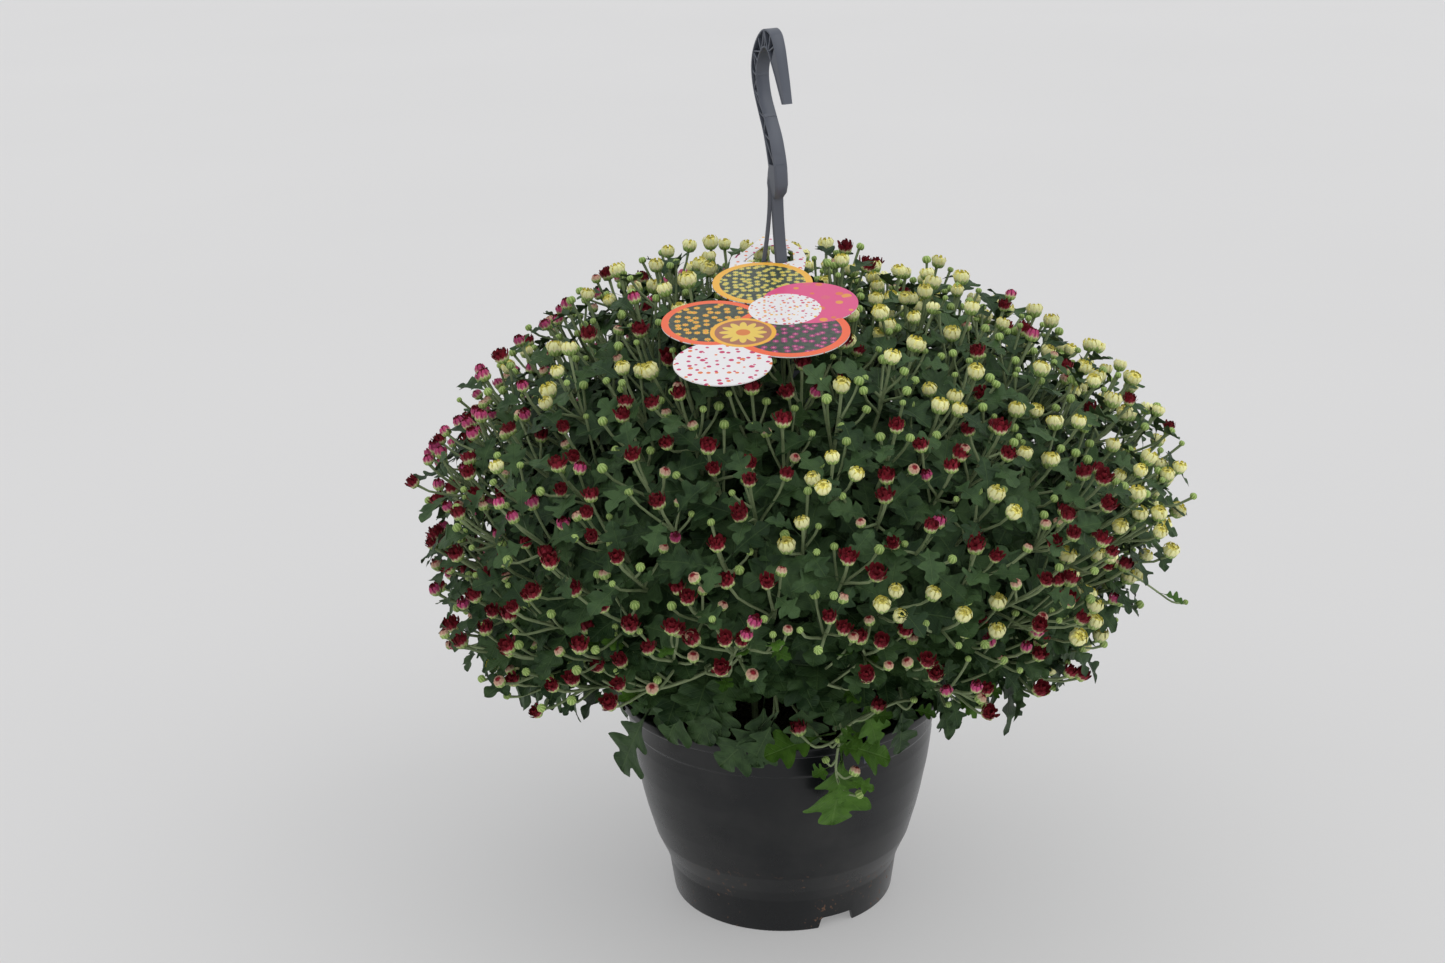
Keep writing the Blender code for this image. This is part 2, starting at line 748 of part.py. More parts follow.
def add_sprays(collections, draw):
    """Place forked sprays of buds evenly over the whole dome, each in its own plant."""
    for index in range(SPRAYS):
        share = (index + 0.6) / SPRAYS * 0.93
        radius, z, normal = dome_point(share)
        angle = index * GOLDEN_ANGLE
        flat = Vector((math.cos(angle), math.sin(angle), 0.0))
        out = (flat * normal.x + Vector((0.0, 0.0, normal.y))).normalized()
        centre = flat * radius + Vector((0.0, 0.0, z))
        azimuth = plant_of(centre)
        rise = (out + Vector((0.0, 0.0, 0.35))).normalized()
        fork = centre - rise * 0.030
        root = centre - rise * 0.030 - out * (CORE_DEPTH - 0.010)
        sides = [rise.orthogonal().normalized()]
        sides.append(rise.cross(sides[0]).normalized())
        start = draw.uniform(0.0, 2.0 * math.pi)
        made = []
        for k in range(BUDS_PER_SPRAY):
            turn = start + 2.0 * math.pi * k / BUDS_PER_SPRAY
            lean = sides[0] * math.cos(turn) + sides[1] * math.sin(turn)
            size = draw.uniform(0.75, 1.15)
            drop = draw.uniform(0.0, 0.012)
            tip = centre + lean * 0.021 - out * drop
            for _ in range(10):
                shape = bud_shape(fork - rise * 0.002 - lean * 0.0006, tip, size)
                if fits(shape[0], azimuth):
                    made.append(shape)
                    break
                tip = tip - out * 0.004 + polar(0.0025, azimuth)
        stalk = stalk_shape(root, fork, 0.0024, 0.0020)
        if made and fits(stalk[0], azimuth):
            add_piece(stalk, collections[azimuth])
            for shape in made:
                add_piece(shape, collections[azimuth])


def add_leaf(base, along, up, length, fold, azimuth, collection):
    """Add one leaf, drawn back towards its plant's middle until it is clear of its neighbours."""
    inward = polar(0.0025, azimuth)
    for _ in range(14):
        shape = leaf_shape(base, along, up, length, fold)
        if fits(shape[0], azimuth):
            add_piece(shape, collection)
            return
        base = base + inward
        along = along + inward * 20.0
        length = length * 0.97


def add_leaves(collections, draw):
    """Place lobed leaves evenly over the core, leaning out of it and lapping like a canopy."""
    for index in range(LEAVES):
        share = 0.05 + 0.94 * (index + 0.5) / LEAVES
        radius, z, normal = dome_point(share)
        angle = index * GOLDEN_ANGLE + 1.1
        flat = Vector((math.cos(angle), math.sin(angle), 0.0))
        out = (flat * normal.x + Vector((0.0, 0.0, normal.y))).normalized()
        base = flat * radius + Vector((0.0, 0.0, z)) - out * (CORE_DEPTH + 0.008)
        azimuth = plant_of(base)
        across = out.cross(Vector((0.0, 0.0, 1.0))).normalized()
        downhill = across.cross(out).normalized()
        turn = draw.uniform(-1.1, 1.1)
        lie = downhill * math.cos(turn) + across * math.sin(turn)
        along = out * draw.uniform(0.55, 0.9) + lie * draw.uniform(0.6, 0.9)
        up = out + lie * draw.uniform(-0.8, -0.2)
        length = LEAF_LENGTH * draw.uniform(0.88, 1.12)
        add_leaf(base, along, up, length, draw.uniform(0.12, 0.35), azimuth, collections[azimuth])


def add_skirt(collections, draw):
    """Place leaves that hang from the core's lower edge, in front of the pot's lip."""
    for index in range(SKIRT_LEAVES):
        angle = 360.0 * (index + 0.5) / SKIRT_LEAVES + draw.uniform(-6.0, 6.0)
        flat = polar(1.0, angle)
        base = Vector((POT_X, 0.0, 0.0)) + flat * SKIRT_RADIUS + Vector((0.0, 0.0, SKIRT_Z))
        azimuth = plant_of(base)
        along = flat * draw.uniform(0.45, 0.75) + Vector((0.0, 0.0, -0.75))
        up = flat + polar(draw.uniform(-0.4, 0.4), angle + 90.0)
        length = LEAF_LENGTH * draw.uniform(0.95, 1.15)
        add_leaf(base, along, up, length, draw.uniform(0.1, 0.3), azimuth, collections[azimuth])


def add_stems(azimuth, collection):
    """Add one plant's woody stems, from the soil up into the core."""
    axis = Vector((POT_X, 0.0, 0.0))
    for place in stem_places(azimuth):
        foot = axis + place + Vector((0.0, 0.0, SOIL_Z - STEM_DEPTH))
        head = axis + place + Vector((0.0, 0.0, CORE_BOTTOM + 0.015))
        add_piece(stalk_shape(foot, head, STEM_RADIUS, STEM_RADIUS, sides=6), collection)


def build_plants(surface):
    """Build the three plants, each one fused body."""
    draw = random.Random(SEED)
    collections = {azimuth: new_collection(name + "_parts") for name, azimuth in PLANTS}
    add_sprays(collections, draw)
    add_leaves(collections, draw)
    add_skirt(collections, draw)
    for name, azimuth in PLANTS:
        core = build_core(name, azimuth, surface[name])
        add_stems(azimuth, collections[azimuth])
        boolean(core, collections[azimuth], "UNION", solver="MANIFOLD")
        keep_main_body(core)


def main():
    """Build every piece."""
    clear_scene()
    anthracite = material("anthracite_plastic", (0.035, 0.038, 0.044), 0.45)
    hanger_plastic = material("hanger_plastic", (0.075, 0.082, 0.092), 0.40)
    earth = material("potting_soil", (0.045, 0.030, 0.020), 0.95)
    card = material("printed_card", (0.85, 0.83, 0.80), 0.45)
    foliage = {
        "plant_red": material("plant_red", (0.060, 0.110, 0.045), 0.65),
        "plant_cream": material("plant_cream", (0.075, 0.130, 0.050), 0.65),
        "plant_pink": material("plant_pink", (0.065, 0.115, 0.050), 0.65),
    }
    build_pot(anthracite)
    build_soil(earth)
    build_hanger(hanger_plastic)
    build_tag(card)
    build_plants(foliage)


main()
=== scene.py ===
"""Looks of the potted chrysanthemum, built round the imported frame.

Metres, +Z up, the viewer on the -Y side. Each sub-assembly is a class that holds its sizes, builds its
meshes and dresses them. Plants grow by a seeded rule, and Geometry Nodes set their leaves, buds and
stalks.
"""

import logging
import math
import random
from dataclasses import dataclass, field
from enum import Enum, IntEnum

import bmesh
import bpy
from mathutils import Matrix, Vector

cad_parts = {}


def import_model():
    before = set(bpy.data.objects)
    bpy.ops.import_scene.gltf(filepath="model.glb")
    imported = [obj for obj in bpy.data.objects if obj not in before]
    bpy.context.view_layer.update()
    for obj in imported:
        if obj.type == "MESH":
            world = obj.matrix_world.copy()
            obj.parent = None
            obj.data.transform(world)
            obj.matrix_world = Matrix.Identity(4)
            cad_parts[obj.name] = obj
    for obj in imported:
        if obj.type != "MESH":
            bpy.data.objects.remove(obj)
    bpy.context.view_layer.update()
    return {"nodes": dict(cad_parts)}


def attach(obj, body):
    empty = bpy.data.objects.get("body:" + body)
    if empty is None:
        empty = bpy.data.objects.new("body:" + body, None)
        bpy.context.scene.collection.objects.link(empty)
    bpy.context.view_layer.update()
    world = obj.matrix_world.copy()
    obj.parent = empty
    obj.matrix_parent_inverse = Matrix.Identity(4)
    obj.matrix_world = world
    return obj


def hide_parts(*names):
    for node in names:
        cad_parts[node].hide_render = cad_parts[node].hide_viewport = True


LOG = logging.getLogger("chrysanthemum")

Colour = tuple[float, float, float]
Pair = tuple[float, float]
Spot = tuple[float, float, float]
Profile = list[Pair]
Shape = tuple[list, list]
Piece = bpy.types.Object
Surface = bpy.types.Material
Tree = bpy.types.NodeTree
Node = bpy.types.Node
Socket = bpy.types.NodeSocket
Outputs = bpy.types.bpy_prop_collection

UP = Vector((0.0, 0.0, 1.0))
BODY = "root"
POT_X = -0.020
POT_AXIS = Vector((POT_X, 0.0, 0.0))
POT_HEIGHT = 0.186
LIP_RADIUS = 0.1355
LIP_HEIGHT = 0.008
WALL_TOP_RADIUS = 0.1268
SOIL_Z = 0.166
SOIL_RADIUS = 0.1205
JUNCTION_Z = 0.600
LEG_AZIMUTHS = (180.0, 300.0, 60.0)
TAG_TILT = 10.0
TAG_Z = 0.542
TAG_THICKNESS = 0.0008
LOOP_OUTER = (
    (-0.037, -0.034), (0.020, -0.034), (0.022, -0.024), (0.024, -0.002), (0.021, 0.014),
    (0.009, 0.033), (-0.002, 0.044), (-0.009, 0.042), (-0.035, -0.0095),
)
LOOP_INNER = (
    (-0.025, -0.0085), (0.0015, -0.0132), (0.006, -0.0130), (0.014, -0.008), (0.0135, 0.010),
    (0.003, 0.022), (-0.009, 0.022),
)
LOOP_CLEARANCE = (-0.006, 0.007, 0.036)
STRAP_ROUTE = (
    (0.0035, 0.604), (0.0050, 0.570), (0.0120, 0.525), (0.0300, 0.460), (0.0640, 0.370),
    (0.1010, 0.275), (0.1385, 0.200), (0.1379, 0.177),
)
STRAP_CLEARANCE = 0.005
GOLDEN_ANGLE = math.pi * (3.0 - math.sqrt(5.0))
PLANTS = (("plant_red", 240.0), ("plant_cream", 0.0), ("plant_pink", 120.0))
NOISE_ROUGHNESS = 0.55
BROAD_GRAIN = 0.03


# Points and curves

def polar(radius: float, degrees: float, z: float = 0.0) -> Vector:
    """Return the point at a radius and an azimuth."""
    angle = math.radians(degrees)
    return Vector((radius * math.cos(angle), radius * math.sin(angle), z))


def smooth_curve(points: list[Vector], steps: int) -> list[Vector]:
    """Return points along a Catmull-Rom curve through the given ones.

    Args:
        points: The points that the curve goes through.
        steps: How many points each stretch gets.

    Returns:
        The curve's points, the last given point included.
    """
    ends = [2 * points[0] - points[1]] + list(points) + [2 * points[-1] - points[-2]]
    route = []
    for k in range(len(points) - 1):
        a, b, c, d = ends[k:k + 4]
        for step in range(steps):
            t = step / steps
            route.append(
                0.5 * (2 * b + (c - a) * t + (2 * a - 5 * b + 4 * c - d) * t * t
                       + (3 * b - a - 3 * c + d) * t ** 3)
            )
    return route + [points[-1]]


def arc(start: Vector, pull_a: Vector, pull_b: Vector, end: Vector, count: int) -> list[Vector]:
    """Return points along a Bezier curve.

    Args:
        start: The first point.
        pull_a: The control point near the start.
        pull_b: The control point near the end.
        end: The last point.
        count: How many points to give.

    Returns:
        The points, both ends included.
    """
    points = []
    for step in range(count):
        t = step / (count - 1)
        s = 1.0 - t
        points.append(s ** 3 * start + 3 * s * s * t * pull_a + 3 * s * t * t * pull_b + t ** 3 * end)
    return points


def eased(profile: Profile, radius: float, steps: int = 3) -> Profile:
    """Round the corners of an open profile.

    Args:
        profile: Points of (radius, height).
        radius: How far from a corner its rounding starts, at most half of either side.
        steps: Stretches in each rounding.

    Returns:
        The profile with its inner corners rounded and its ends kept.
    """
    points = [Vector((r, z, 0.0)) for r, z in profile]
    rounded = [points[0]]
    for before, corner, after in zip(points, points[1:], points[2:]):
        a = corner + (before - corner).normalized() * min(radius, (before - corner).length * 0.45)
        b = corner + (after - corner).normalized() * min(radius, (after - corner).length * 0.45)
        for step in range(steps + 1):
            t = step / steps
            rounded.append((1 - t) ** 2 * a + 2 * t * (1 - t) * corner + t * t * b)
    rounded.append(points[-1])
    return [(point.x, point.y) for point in rounded]


# Meshes

def add_object(name: str, vertices: list, faces: list, surface: Surface | None = None) -> Piece:
    """Make one mesh object from points and faces.

    Args:
        name: The object's name.
        vertices: Points.
        faces: Tuples of point numbers.
        surface: Its material, if it has one yet.

    Returns:
        The object, linked to the scene.
    """
    mesh = bpy.data.meshes.new(name)
    mesh.from_pydata([tuple(vertex) for vertex in vertices], [], faces)
    if surface:
        mesh.materials.append(surface)
    item = bpy.data.objects.new(name, mesh)
    bpy.context.scene.collection.objects.link(item)
    return item


def lathe(profile: Profile, steps: int) -> Shape:
    """Turn a profile about the Z axis and close its ends.

    Args:
        profile: Points of (radius, height), from the lower pole out and round to the upper one.
        steps: Stretches round the axis.

    Returns:
        Points and faces. A profile's end at radius 0 becomes one point, another end a flat cap.
    """
    vertices = []
    rings = []
    for radius, z in profile:
        if radius < 1e-7:
            rings.append([len(vertices)])
            vertices.append(Vector((0.0, 0.0, z)))
            continue
        rings.append(list(range(len(vertices), len(vertices) + steps)))
        vertices += [polar(radius, 360.0 * k / steps, z) for k in range(steps)]
    faces = []
    for low, high in zip(rings, rings[1:]):
        for k in range(steps):
            after = (k + 1) % steps
            if len(low) == 1:
                faces.append((low[0], high[after], high[k]))
            elif len(high) == 1:
                faces.append((low[k], low[after], high[0]))
            else:
                faces.append((low[k], low[after], high[after], high[k]))
    if len(rings[0]) > 1:
        faces.append(tuple(reversed(rings[0])))
    if len(rings[-1]) > 1:
        faces.append(tuple(rings[-1]))
    return vertices, faces


def loft(sections: list[list[Vector]]) -> Shape:
    """Skin a row of like sections and close both ends.

    Args:
        sections: Rings of points, each with the same count.

    Returns:
        Points and faces.
    """
    count = len(sections[0])
    vertices = [point for section in sections for point in section]
    faces = [tuple(range(count))]
    for k in range(len(sections) - 1):
        for j in range(count):
            a = k * count + j
            b = k * count + (j + 1) % count
            faces.append((a, a + count, b + count, b))
    last = (len(sections) - 1) * count
    faces.append(tuple(reversed(range(last, last + count))))
    return vertices, faces


def bar_section(centre: Vector, across: Vector, out: Vector, width: float, thick: float,
                chamfer: float) -> list[Vector]:
    """Return one chamfered oblong section of a moulded bar.

    Args:
        centre: The section's middle.
        across: Unit direction of the width.
        out: Unit direction of the thickness.
        width: Size across.
        thick: Size outwards.
        chamfer: Size of the corners' chamfer.

    Returns:
        Eight points in order round the section.
    """
    w = width / 2
    t = thick / 2
    c = chamfer
    corners = ((-w + c, -t), (w - c, -t), (w, -t + c), (w, t - c),
               (w - c, t), (-w + c, t), (-w, t - c), (-w, -t + c))
    return [centre + across * x + out * y for x, y in corners]


def join_shapes(name: str, shapes: list[Shape], surface: Surface) -> Piece:
    """Make one object of several closed shapes, with every face outwards.

    Args:
        name: The object's name.
        shapes: Points and faces of each shape.
        surface: The material.

    Returns:
        The object.
    """
    vertices = []
    faces = []
    for points, sides in shapes:
        start = len(vertices)
        vertices += points
        faces += [tuple(start + k for k in side) for side in sides]
    item = add_object(name, vertices, faces, surface)
    work = bmesh.new()
    work.from_mesh(item.data)
    bmesh.ops.recalc_face_normals(work, faces=work.faces)
    work.to_mesh(item.data)
    work.free()
    return item


def shade(item: Piece, degrees: float) -> None:
    """Shade an object smooth, with hard edges past an angle."""
    item.data.shade_smooth()
    item.data.set_sharp_from_angle(angle=math.radians(degrees))


def harden(item: Piece) -> None:
    """Turn an object's modifiers into its plain mesh."""
    bpy.context.view_layer.update()
    graph = bpy.context.evaluated_depsgraph_get()
    result = bpy.data.meshes.new_from_object(item.evaluated_get(graph))
    item.modifiers.clear()
    item.data = result


def discard(items: list[Piece]) -> None:
    """Remove objects that have done their work."""
    for item in items:
        bpy.data.objects.remove(item, do_unlink=True)


def boolean(item: Piece, others: list[Piece], operation: str) -> None:
    """Join or cut one object with others, and remove those.

    Args:
        item: The object that is changed.
        others: Closed shapes.
        operation: UNION or DIFFERENCE.
    """
    group = bpy.data.collections.new("shapes")
    bpy.context.scene.collection.children.link(group)
    for other in others:
        group.objects.link(other)
    modifier = item.modifiers.new("boolean", "BOOLEAN")
    modifier.operation = operation
    modifier.operand_type = "COLLECTION"
    modifier.collection = group
    modifier.solver = "EXACT"
    harden(item)
    discard(others)
    bpy.data.collections.remove(group)


def settle(item: Piece, slot: str, *nodes: str) -> Piece:
    """Hand a finished piece to the frame.

    Args:
        item: The piece.
        slot: Not used.
        nodes: The CAD nodes that it stands for.

    Returns:
        The piece.
    """
    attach(item, BODY)
    if nodes:
        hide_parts(*nodes)
    LOG.info("%s: %d faces", item.name, len(item.data.polygons))
    return item


# Node trees

class Web:
    """Wires one node tree, of a shader or of geometry."""

    def __init__(self, tree: Tree, taken: Node) -> None:
        """Keep the tree and the node that takes its results."""
        self.tree = tree
        self.taken = taken

    def put(self, node: Node, inputs: dict) -> None:
        """Set a node's inputs.

        Args:
            node: The node.
            inputs: Values, colours or sockets, by the input's identifier or name.
        """
        for key, value in inputs.items():
            same = [socket for socket in node.inputs if socket.identifier == key]
            socket = same[0] if same else node.inputs[key]
            if isinstance(value, Socket):
                self.tree.links.new(value, socket)
            elif isinstance(value, tuple):
                socket.default_value = (*value, 1.0)
            else:
                socket.default_value = value

    def finish(self, results: dict) -> None:
        """Set the inputs of the node that takes the tree's results."""
        self.put(self.taken, results)

    def add(self, kind: str, inputs: dict | None = None, **settings: object) -> Outputs:
        """Add a node and return its outputs.

        Args:
            kind: The node's type.
            inputs: Values, colours or sockets, by the input's identifier or name.
            settings: The node's own properties.

        Returns:
            The node's outputs.
        """
        node = self.tree.nodes.new(kind)
        for name, value in settings.items():
            setattr(node, name, value)
        self.put(node, inputs or {})
        return node.outputs

    def sum(self, operation: str, a: object, b: object = 0.0) -> Socket:
        """Work out a number by one of the Math node's operations."""
        return self.add("ShaderNodeMath", {"Value": a, "Value_001": b}, operation=operation)[0]

    def plus(self, a: object, b: object) -> Socket:
        """Add two numbers."""
        return self.sum("ADD", a, b)

    def minus(self, a: object, b: object) -> Socket:
        """Take the second number from the first."""
        return self.sum("SUBTRACT", a, b)

    def times(self, a: object, b: object) -> Socket:
        """Multiply two numbers."""
        return self.sum("MULTIPLY", a, b)

    def under(self, value: object, limit: object) -> Socket:
        """Return 1 where a number is under a limit, else 0."""
        return self.sum("LESS_THAN", value, limit)

    def over(self, value: object, limit: object) -> Socket:
        """Return 1 where a number is over a limit, else 0."""
        return self.sum("GREATER_THAN", value, limit)

    def wave(self, angle: object, count: object) -> Socket:
        """Return how near an angle is to one of the even directions, twice the count: 0 to 1."""
        return self.sum("ABSOLUTE", self.sum("COSINE", self.times(angle, count)))

    def remap(self, value: object, low: object, high: object, start: object = 0.0, end: object = 1.0,
              soft: bool = False) -> Socket:
        """Map a range of a number to another, and hold it there.

        Args:
            value: The number.
            low: Where the range begins.
            high: Where it ends.
            start: The result at its beginning.
            end: The result at its end.
            soft: Ease in and out.

        Returns:
            The result's socket.
        """
        kind = "SMOOTHSTEP" if soft else "LINEAR"
        inputs = {"Value": value, "From Min": low, "From Max": high, "To Min": start, "To Max": end}
        return self.add("ShaderNodeMapRange", inputs, interpolation_type=kind)[0]

    def blend(self, share: object, a: object, b: object, way: str = "MIX") -> Socket:
        """Mix two colours by the share of the second, in one of the Mix node's ways."""
        inputs = {"Factor_Float": share, "A_Color": a, "B_Color": b}
        return self.add("ShaderNodeMix", inputs, data_type="RGBA", blend_type=way)[2]

    def noise(self, vector: Socket, scale: object, detail: float = 3.0) -> Socket:
        """Return a noise value over a vector, with a number of octaves."""
        inputs = {"Vector": vector, "Scale": scale, "Detail": detail, "Roughness": NOISE_ROUGHNESS}
        return self.add("ShaderNodeTexNoise", inputs)[0]

    def cells(self, vector: Socket, scale: Socket, randomness: float = 1.0) -> Outputs:
        """Return the colour, the distance and the place of cells strewn over a flat print."""
        inputs = {"Vector": vector, "Scale": scale, "Randomness": randomness}
        return self.add("ShaderNodeTexVoronoi", inputs, voronoi_dimensions="2D")

    def grey(self, value: Socket) -> Socket:
        """Return the grey of a brightness."""
        inputs = {"Red": value, "Green": value, "Blue": value}
        return self.add("ShaderNodeCombineColor", inputs)[0]

    def parts(self, vector: Socket) -> Outputs:
        """Return a vector's X, Y and Z."""
        return self.add("ShaderNodeSeparateXYZ", {"Vector": vector})

    def azimuth(self, vector: Socket) -> Socket:
        """Return a flat vector's angle."""
        parts = self.parts(vector)
        return self.sum("ARCTAN2", parts["Y"], parts["X"])

    def length(self, vector: Socket) -> Socket:
        """Return a vector's length."""
        return self.add("ShaderNodeVectorMath", {0: vector}, operation="LENGTH")["Value"]

    def tone(self) -> Socket:
        """Return the shade that a leaf, a bud or a stalk carries, 0 to 1."""
        return self.add("ShaderNodeAttribute", attribute_name="tone")["Fac"]

    def place(self) -> Socket:
        """Return the object's own coordinates."""
        return self.add("ShaderNodeTexCoord")["Object"]

    def uv(self) -> Socket:
        """Return the piece's own UV map."""
        return self.add("ShaderNodeUVMap", uv_map="UVMap")[0]

    def backface(self) -> Socket:
        """Return 1 on a face's back."""
        return self.add("ShaderNodeNewGeometry")["Backfacing"]

    def use(self, group: Tree, inputs: dict) -> Outputs:
        """Place a shader node group with its inputs, and return its outputs."""
        return self.add("ShaderNodeGroup", inputs, node_tree=group)

    def bump(self, height: Socket, strength: float, depth: float) -> Socket:
        """Return the normal of a bump by its height, its strength and its depth in metres."""
        return self.add("ShaderNodeBump", {"Height": height, "Strength": strength, "Distance": depth})[0]


def open_group(name: str, inputs: dict[str, str], outputs: dict[str, str], kind: str = "ShaderNodeTree"
               ) -> tuple[Web, dict[str, Socket]]:
    """Start a node group.

    Args:
        name: The group's name.
        inputs: Input names by socket type, as words.
        outputs: Output names by socket type, as words.
        kind: The tree's type.

    Returns:
        The web to wire, and the inputs' sockets by name.
    """
    tree = bpy.data.node_groups.new(name, kind)
    for way, sockets in (("INPUT", inputs), ("OUTPUT", outputs)):
        for socket, labels in sockets.items():
            for label in labels.split():
                tree.interface.new_socket(name=label, in_out=way, socket_type="NodeSocket" + socket)
    given = tree.nodes.new("NodeGroupInput")
    web = Web(tree, tree.nodes.new("NodeGroupOutput"))
    return web, {socket.name: socket for socket in given.outputs if socket.name}


class Effects:
    """The shader effects that several finishes use, each built once as a node group."""

    def __init__(self) -> None:
        """Build every effect."""
        self.mottle = self.build_mottle()
        self.grain = self.build_grain()
        self.veins = self.build_veins()
        self.bands = self.build_bands()
        self.confetti = self.build_confetti()
        self.daisies = self.build_daisies()

    def build_mottle(self) -> Tree:
        """Build a soft change between two colours, shifted by each piece's own tone."""
        web, given = open_group("mottle", {"Vector": "Place", "Float": "Scale Tone", "Color": "Dark Light"},
                                {"Color": "Colour", "Float": "Share"})
        patches = web.remap(web.noise(given["Place"], given["Scale"]), 0.32, 0.68)
        share = web.remap(web.plus(patches, web.minus(given["Tone"], 0.5)), 0.0, 1.0)
        web.finish({"Colour": web.blend(share, given["Dark"], given["Light"]), "Share": share})
        return web.tree

    def build_grain(self) -> Tree:
        """Build the fine texture of a moulded or grown skin, as a roughness and a height."""
        web, given = open_group("grain", {"Vector": "Place", "Float": "Scale Roughness Spread"},
                                {"Float": "Roughness Height"})
        broad = web.noise(given["Place"], web.times(given["Scale"], BROAD_GRAIN))
        swing = web.times(web.minus(broad, 0.5), given["Spread"])
        web.finish({"Roughness": web.plus(given["Roughness"], swing),
                    "Height": web.noise(given["Place"], given["Scale"], detail=2.0)})
        return web.tree

    def build_veins(self) -> Tree:
        """Build a leaf's midrib and side veins over its UV map: along it, and across from its middle."""
        slant, spacing, first = 0.75, 0.065, 0.02
        web, given = open_group("veins", {"Vector": "Place"}, {"Float": "Mask"})
        parts = web.parts(given["Place"])
        across = web.sum("ABSOLUTE", web.minus(parts["Y"], 0.5))
        along = web.minus(parts["X"], web.times(across, slant))
        beat = web.sum("PINGPONG", web.plus(along, first), spacing)
        side = web.remap(beat, 0.0, 0.012, 1.0, 0.0, soft=True)
        middle = web.remap(across, 0.006, 0.020, 1.0, 0.0, soft=True)
        web.finish({"Mask": web.sum("MAXIMUM", web.times(side, 0.6), middle)})
        return web.tree

    def build_bands(self) -> Tree:
        """Build a bud's colours over its UV map: round it, and from its stalk to its crown."""
        straw = (0.62, 0.58, 0.34)
        web, given = open_group(
            "bud_bands", {"Vector": "Map Place", "Float": "Tone Count Calyx_Top",
                          "Color": "Sepal Stripe Reverse Face"},
            {"Color": "Colour", "Float": "Height Open"})
        parts = web.parts(given["Map"])
        level = parts["Y"]
        wave = web.wave(parts["X"], web.times(given["Count"], math.pi))
        scallop = web.times(web.minus(wave, 0.6), 0.14)
        rise = web.minus(level, web.plus(given["Calyx_Top"], scallop))
        petals = web.remap(rise, -0.015, 0.015)
        face = web.remap(level, 0.74, 0.84)
        stripes = web.remap(wave, 0.55, 0.92)
        green = web.blend(web.times(stripes, 0.70), given["Stripe"], given["Sepal"])
        green = web.blend(web.remap(level, 0.02, 0.10, 0.7, 0.0), green, given["Stripe"])
        pale = web.blend(web.remap(rise, 0.02, 0.20, 0.85, 0.0), given["Reverse"], straw)
        patches = web.remap(web.noise(given["Place"], 420.0, detail=2.0), 0.35, 0.65, 0.55, 1.5)
        crown = web.blend(0.8, given["Face"], web.grey(patches), "MULTIPLY")
        colour = web.blend(petals, green, web.blend(face, pale, crown))
        tint = web.grey(web.remap(given["Tone"], 0.0, 1.0, 0.86, 1.2))
        web.finish({"Colour": web.blend(1.0, colour, tint, "MULTIPLY"),
                    "Height": web.plus(stripes, patches), "Open": web.times(face, petals)})
        return web.tree

    def build_confetti(self) -> Tree:
        """Build loose printed dots of several sizes in three inks on a paper."""
        web, given = open_group(
            "confetti", {"Vector": "Place", "Float": "Scale Size", "Color": "Ground First Second Third"},
            {"Color": "Colour"})
        cells = web.cells(given["Place"], given["Scale"])
        lot = web.add("ShaderNodeSeparateColor", {"Color": cells["Color"]})
        size = web.times(web.remap(lot[0], 0.0, 1.0, 0.35, 1.0), given["Size"])
        ink = web.blend(web.over(lot[1], 0.42), given["First"], given["Second"])
        ink = web.blend(web.over(lot[1], 0.72), ink, given["Third"])
        dot = web.under(cells["Distance"], size)
        web.finish({"Colour": web.blend(dot, given["Ground"], ink)})
        return web.tree

    def build_daisies(self) -> Tree:
        """Build a field of plain printed daisies on a leafy ground."""
        leafy_green = (0.10, 0.17, 0.07)
        web, given = open_group(
            "daisies", {"Vector": "Place", "Float": "Scale Size", "Color": "Ground First Second"},
            {"Color": "Colour"})
        cells = web.cells(given["Place"], given["Scale"], randomness=0.75)
        away = web.add("ShaderNodeVectorMath", {0: given["Place"], 1: cells["Position"]},
                       operation="SUBTRACT")[0]
        reach = web.times(web.remap(web.wave(web.azimuth(away), 4.0), 0.0, 1.0, 0.55, 1.0), given["Size"])
        petals = web.under(cells["Distance"], reach)
        heart = web.under(cells["Distance"], web.times(given["Size"], 0.32))
        leafy = web.remap(web.noise(given["Place"], web.times(given["Scale"], 2.0)), 0.4, 0.6)
        ground = web.blend(web.times(leafy, 0.35), given["Ground"], leafy_green)
        colour = web.blend(petals, ground, given["First"])
        web.finish({"Colour": web.blend(heart, colour, given["Second"])})
        return web.tree


# Finishes

@dataclass(frozen=True)
class Finish:
    """A material, painted by nodes that each kind of finish wires in its own way."""

    name: str

    def paint(self, web: Web, effects: Effects) -> None:
        """Wire the material's nodes with the shared effects."""
        raise NotImplementedError

    def build(self, effects: Effects) -> Surface:
        """Return the material, made with the shared effects."""
        surface = bpy.data.materials.new(self.name)
        surface.use_nodes = True
        self.paint(Web(surface.node_tree, surface.node_tree.nodes["Principled BSDF"]), effects)
        return surface


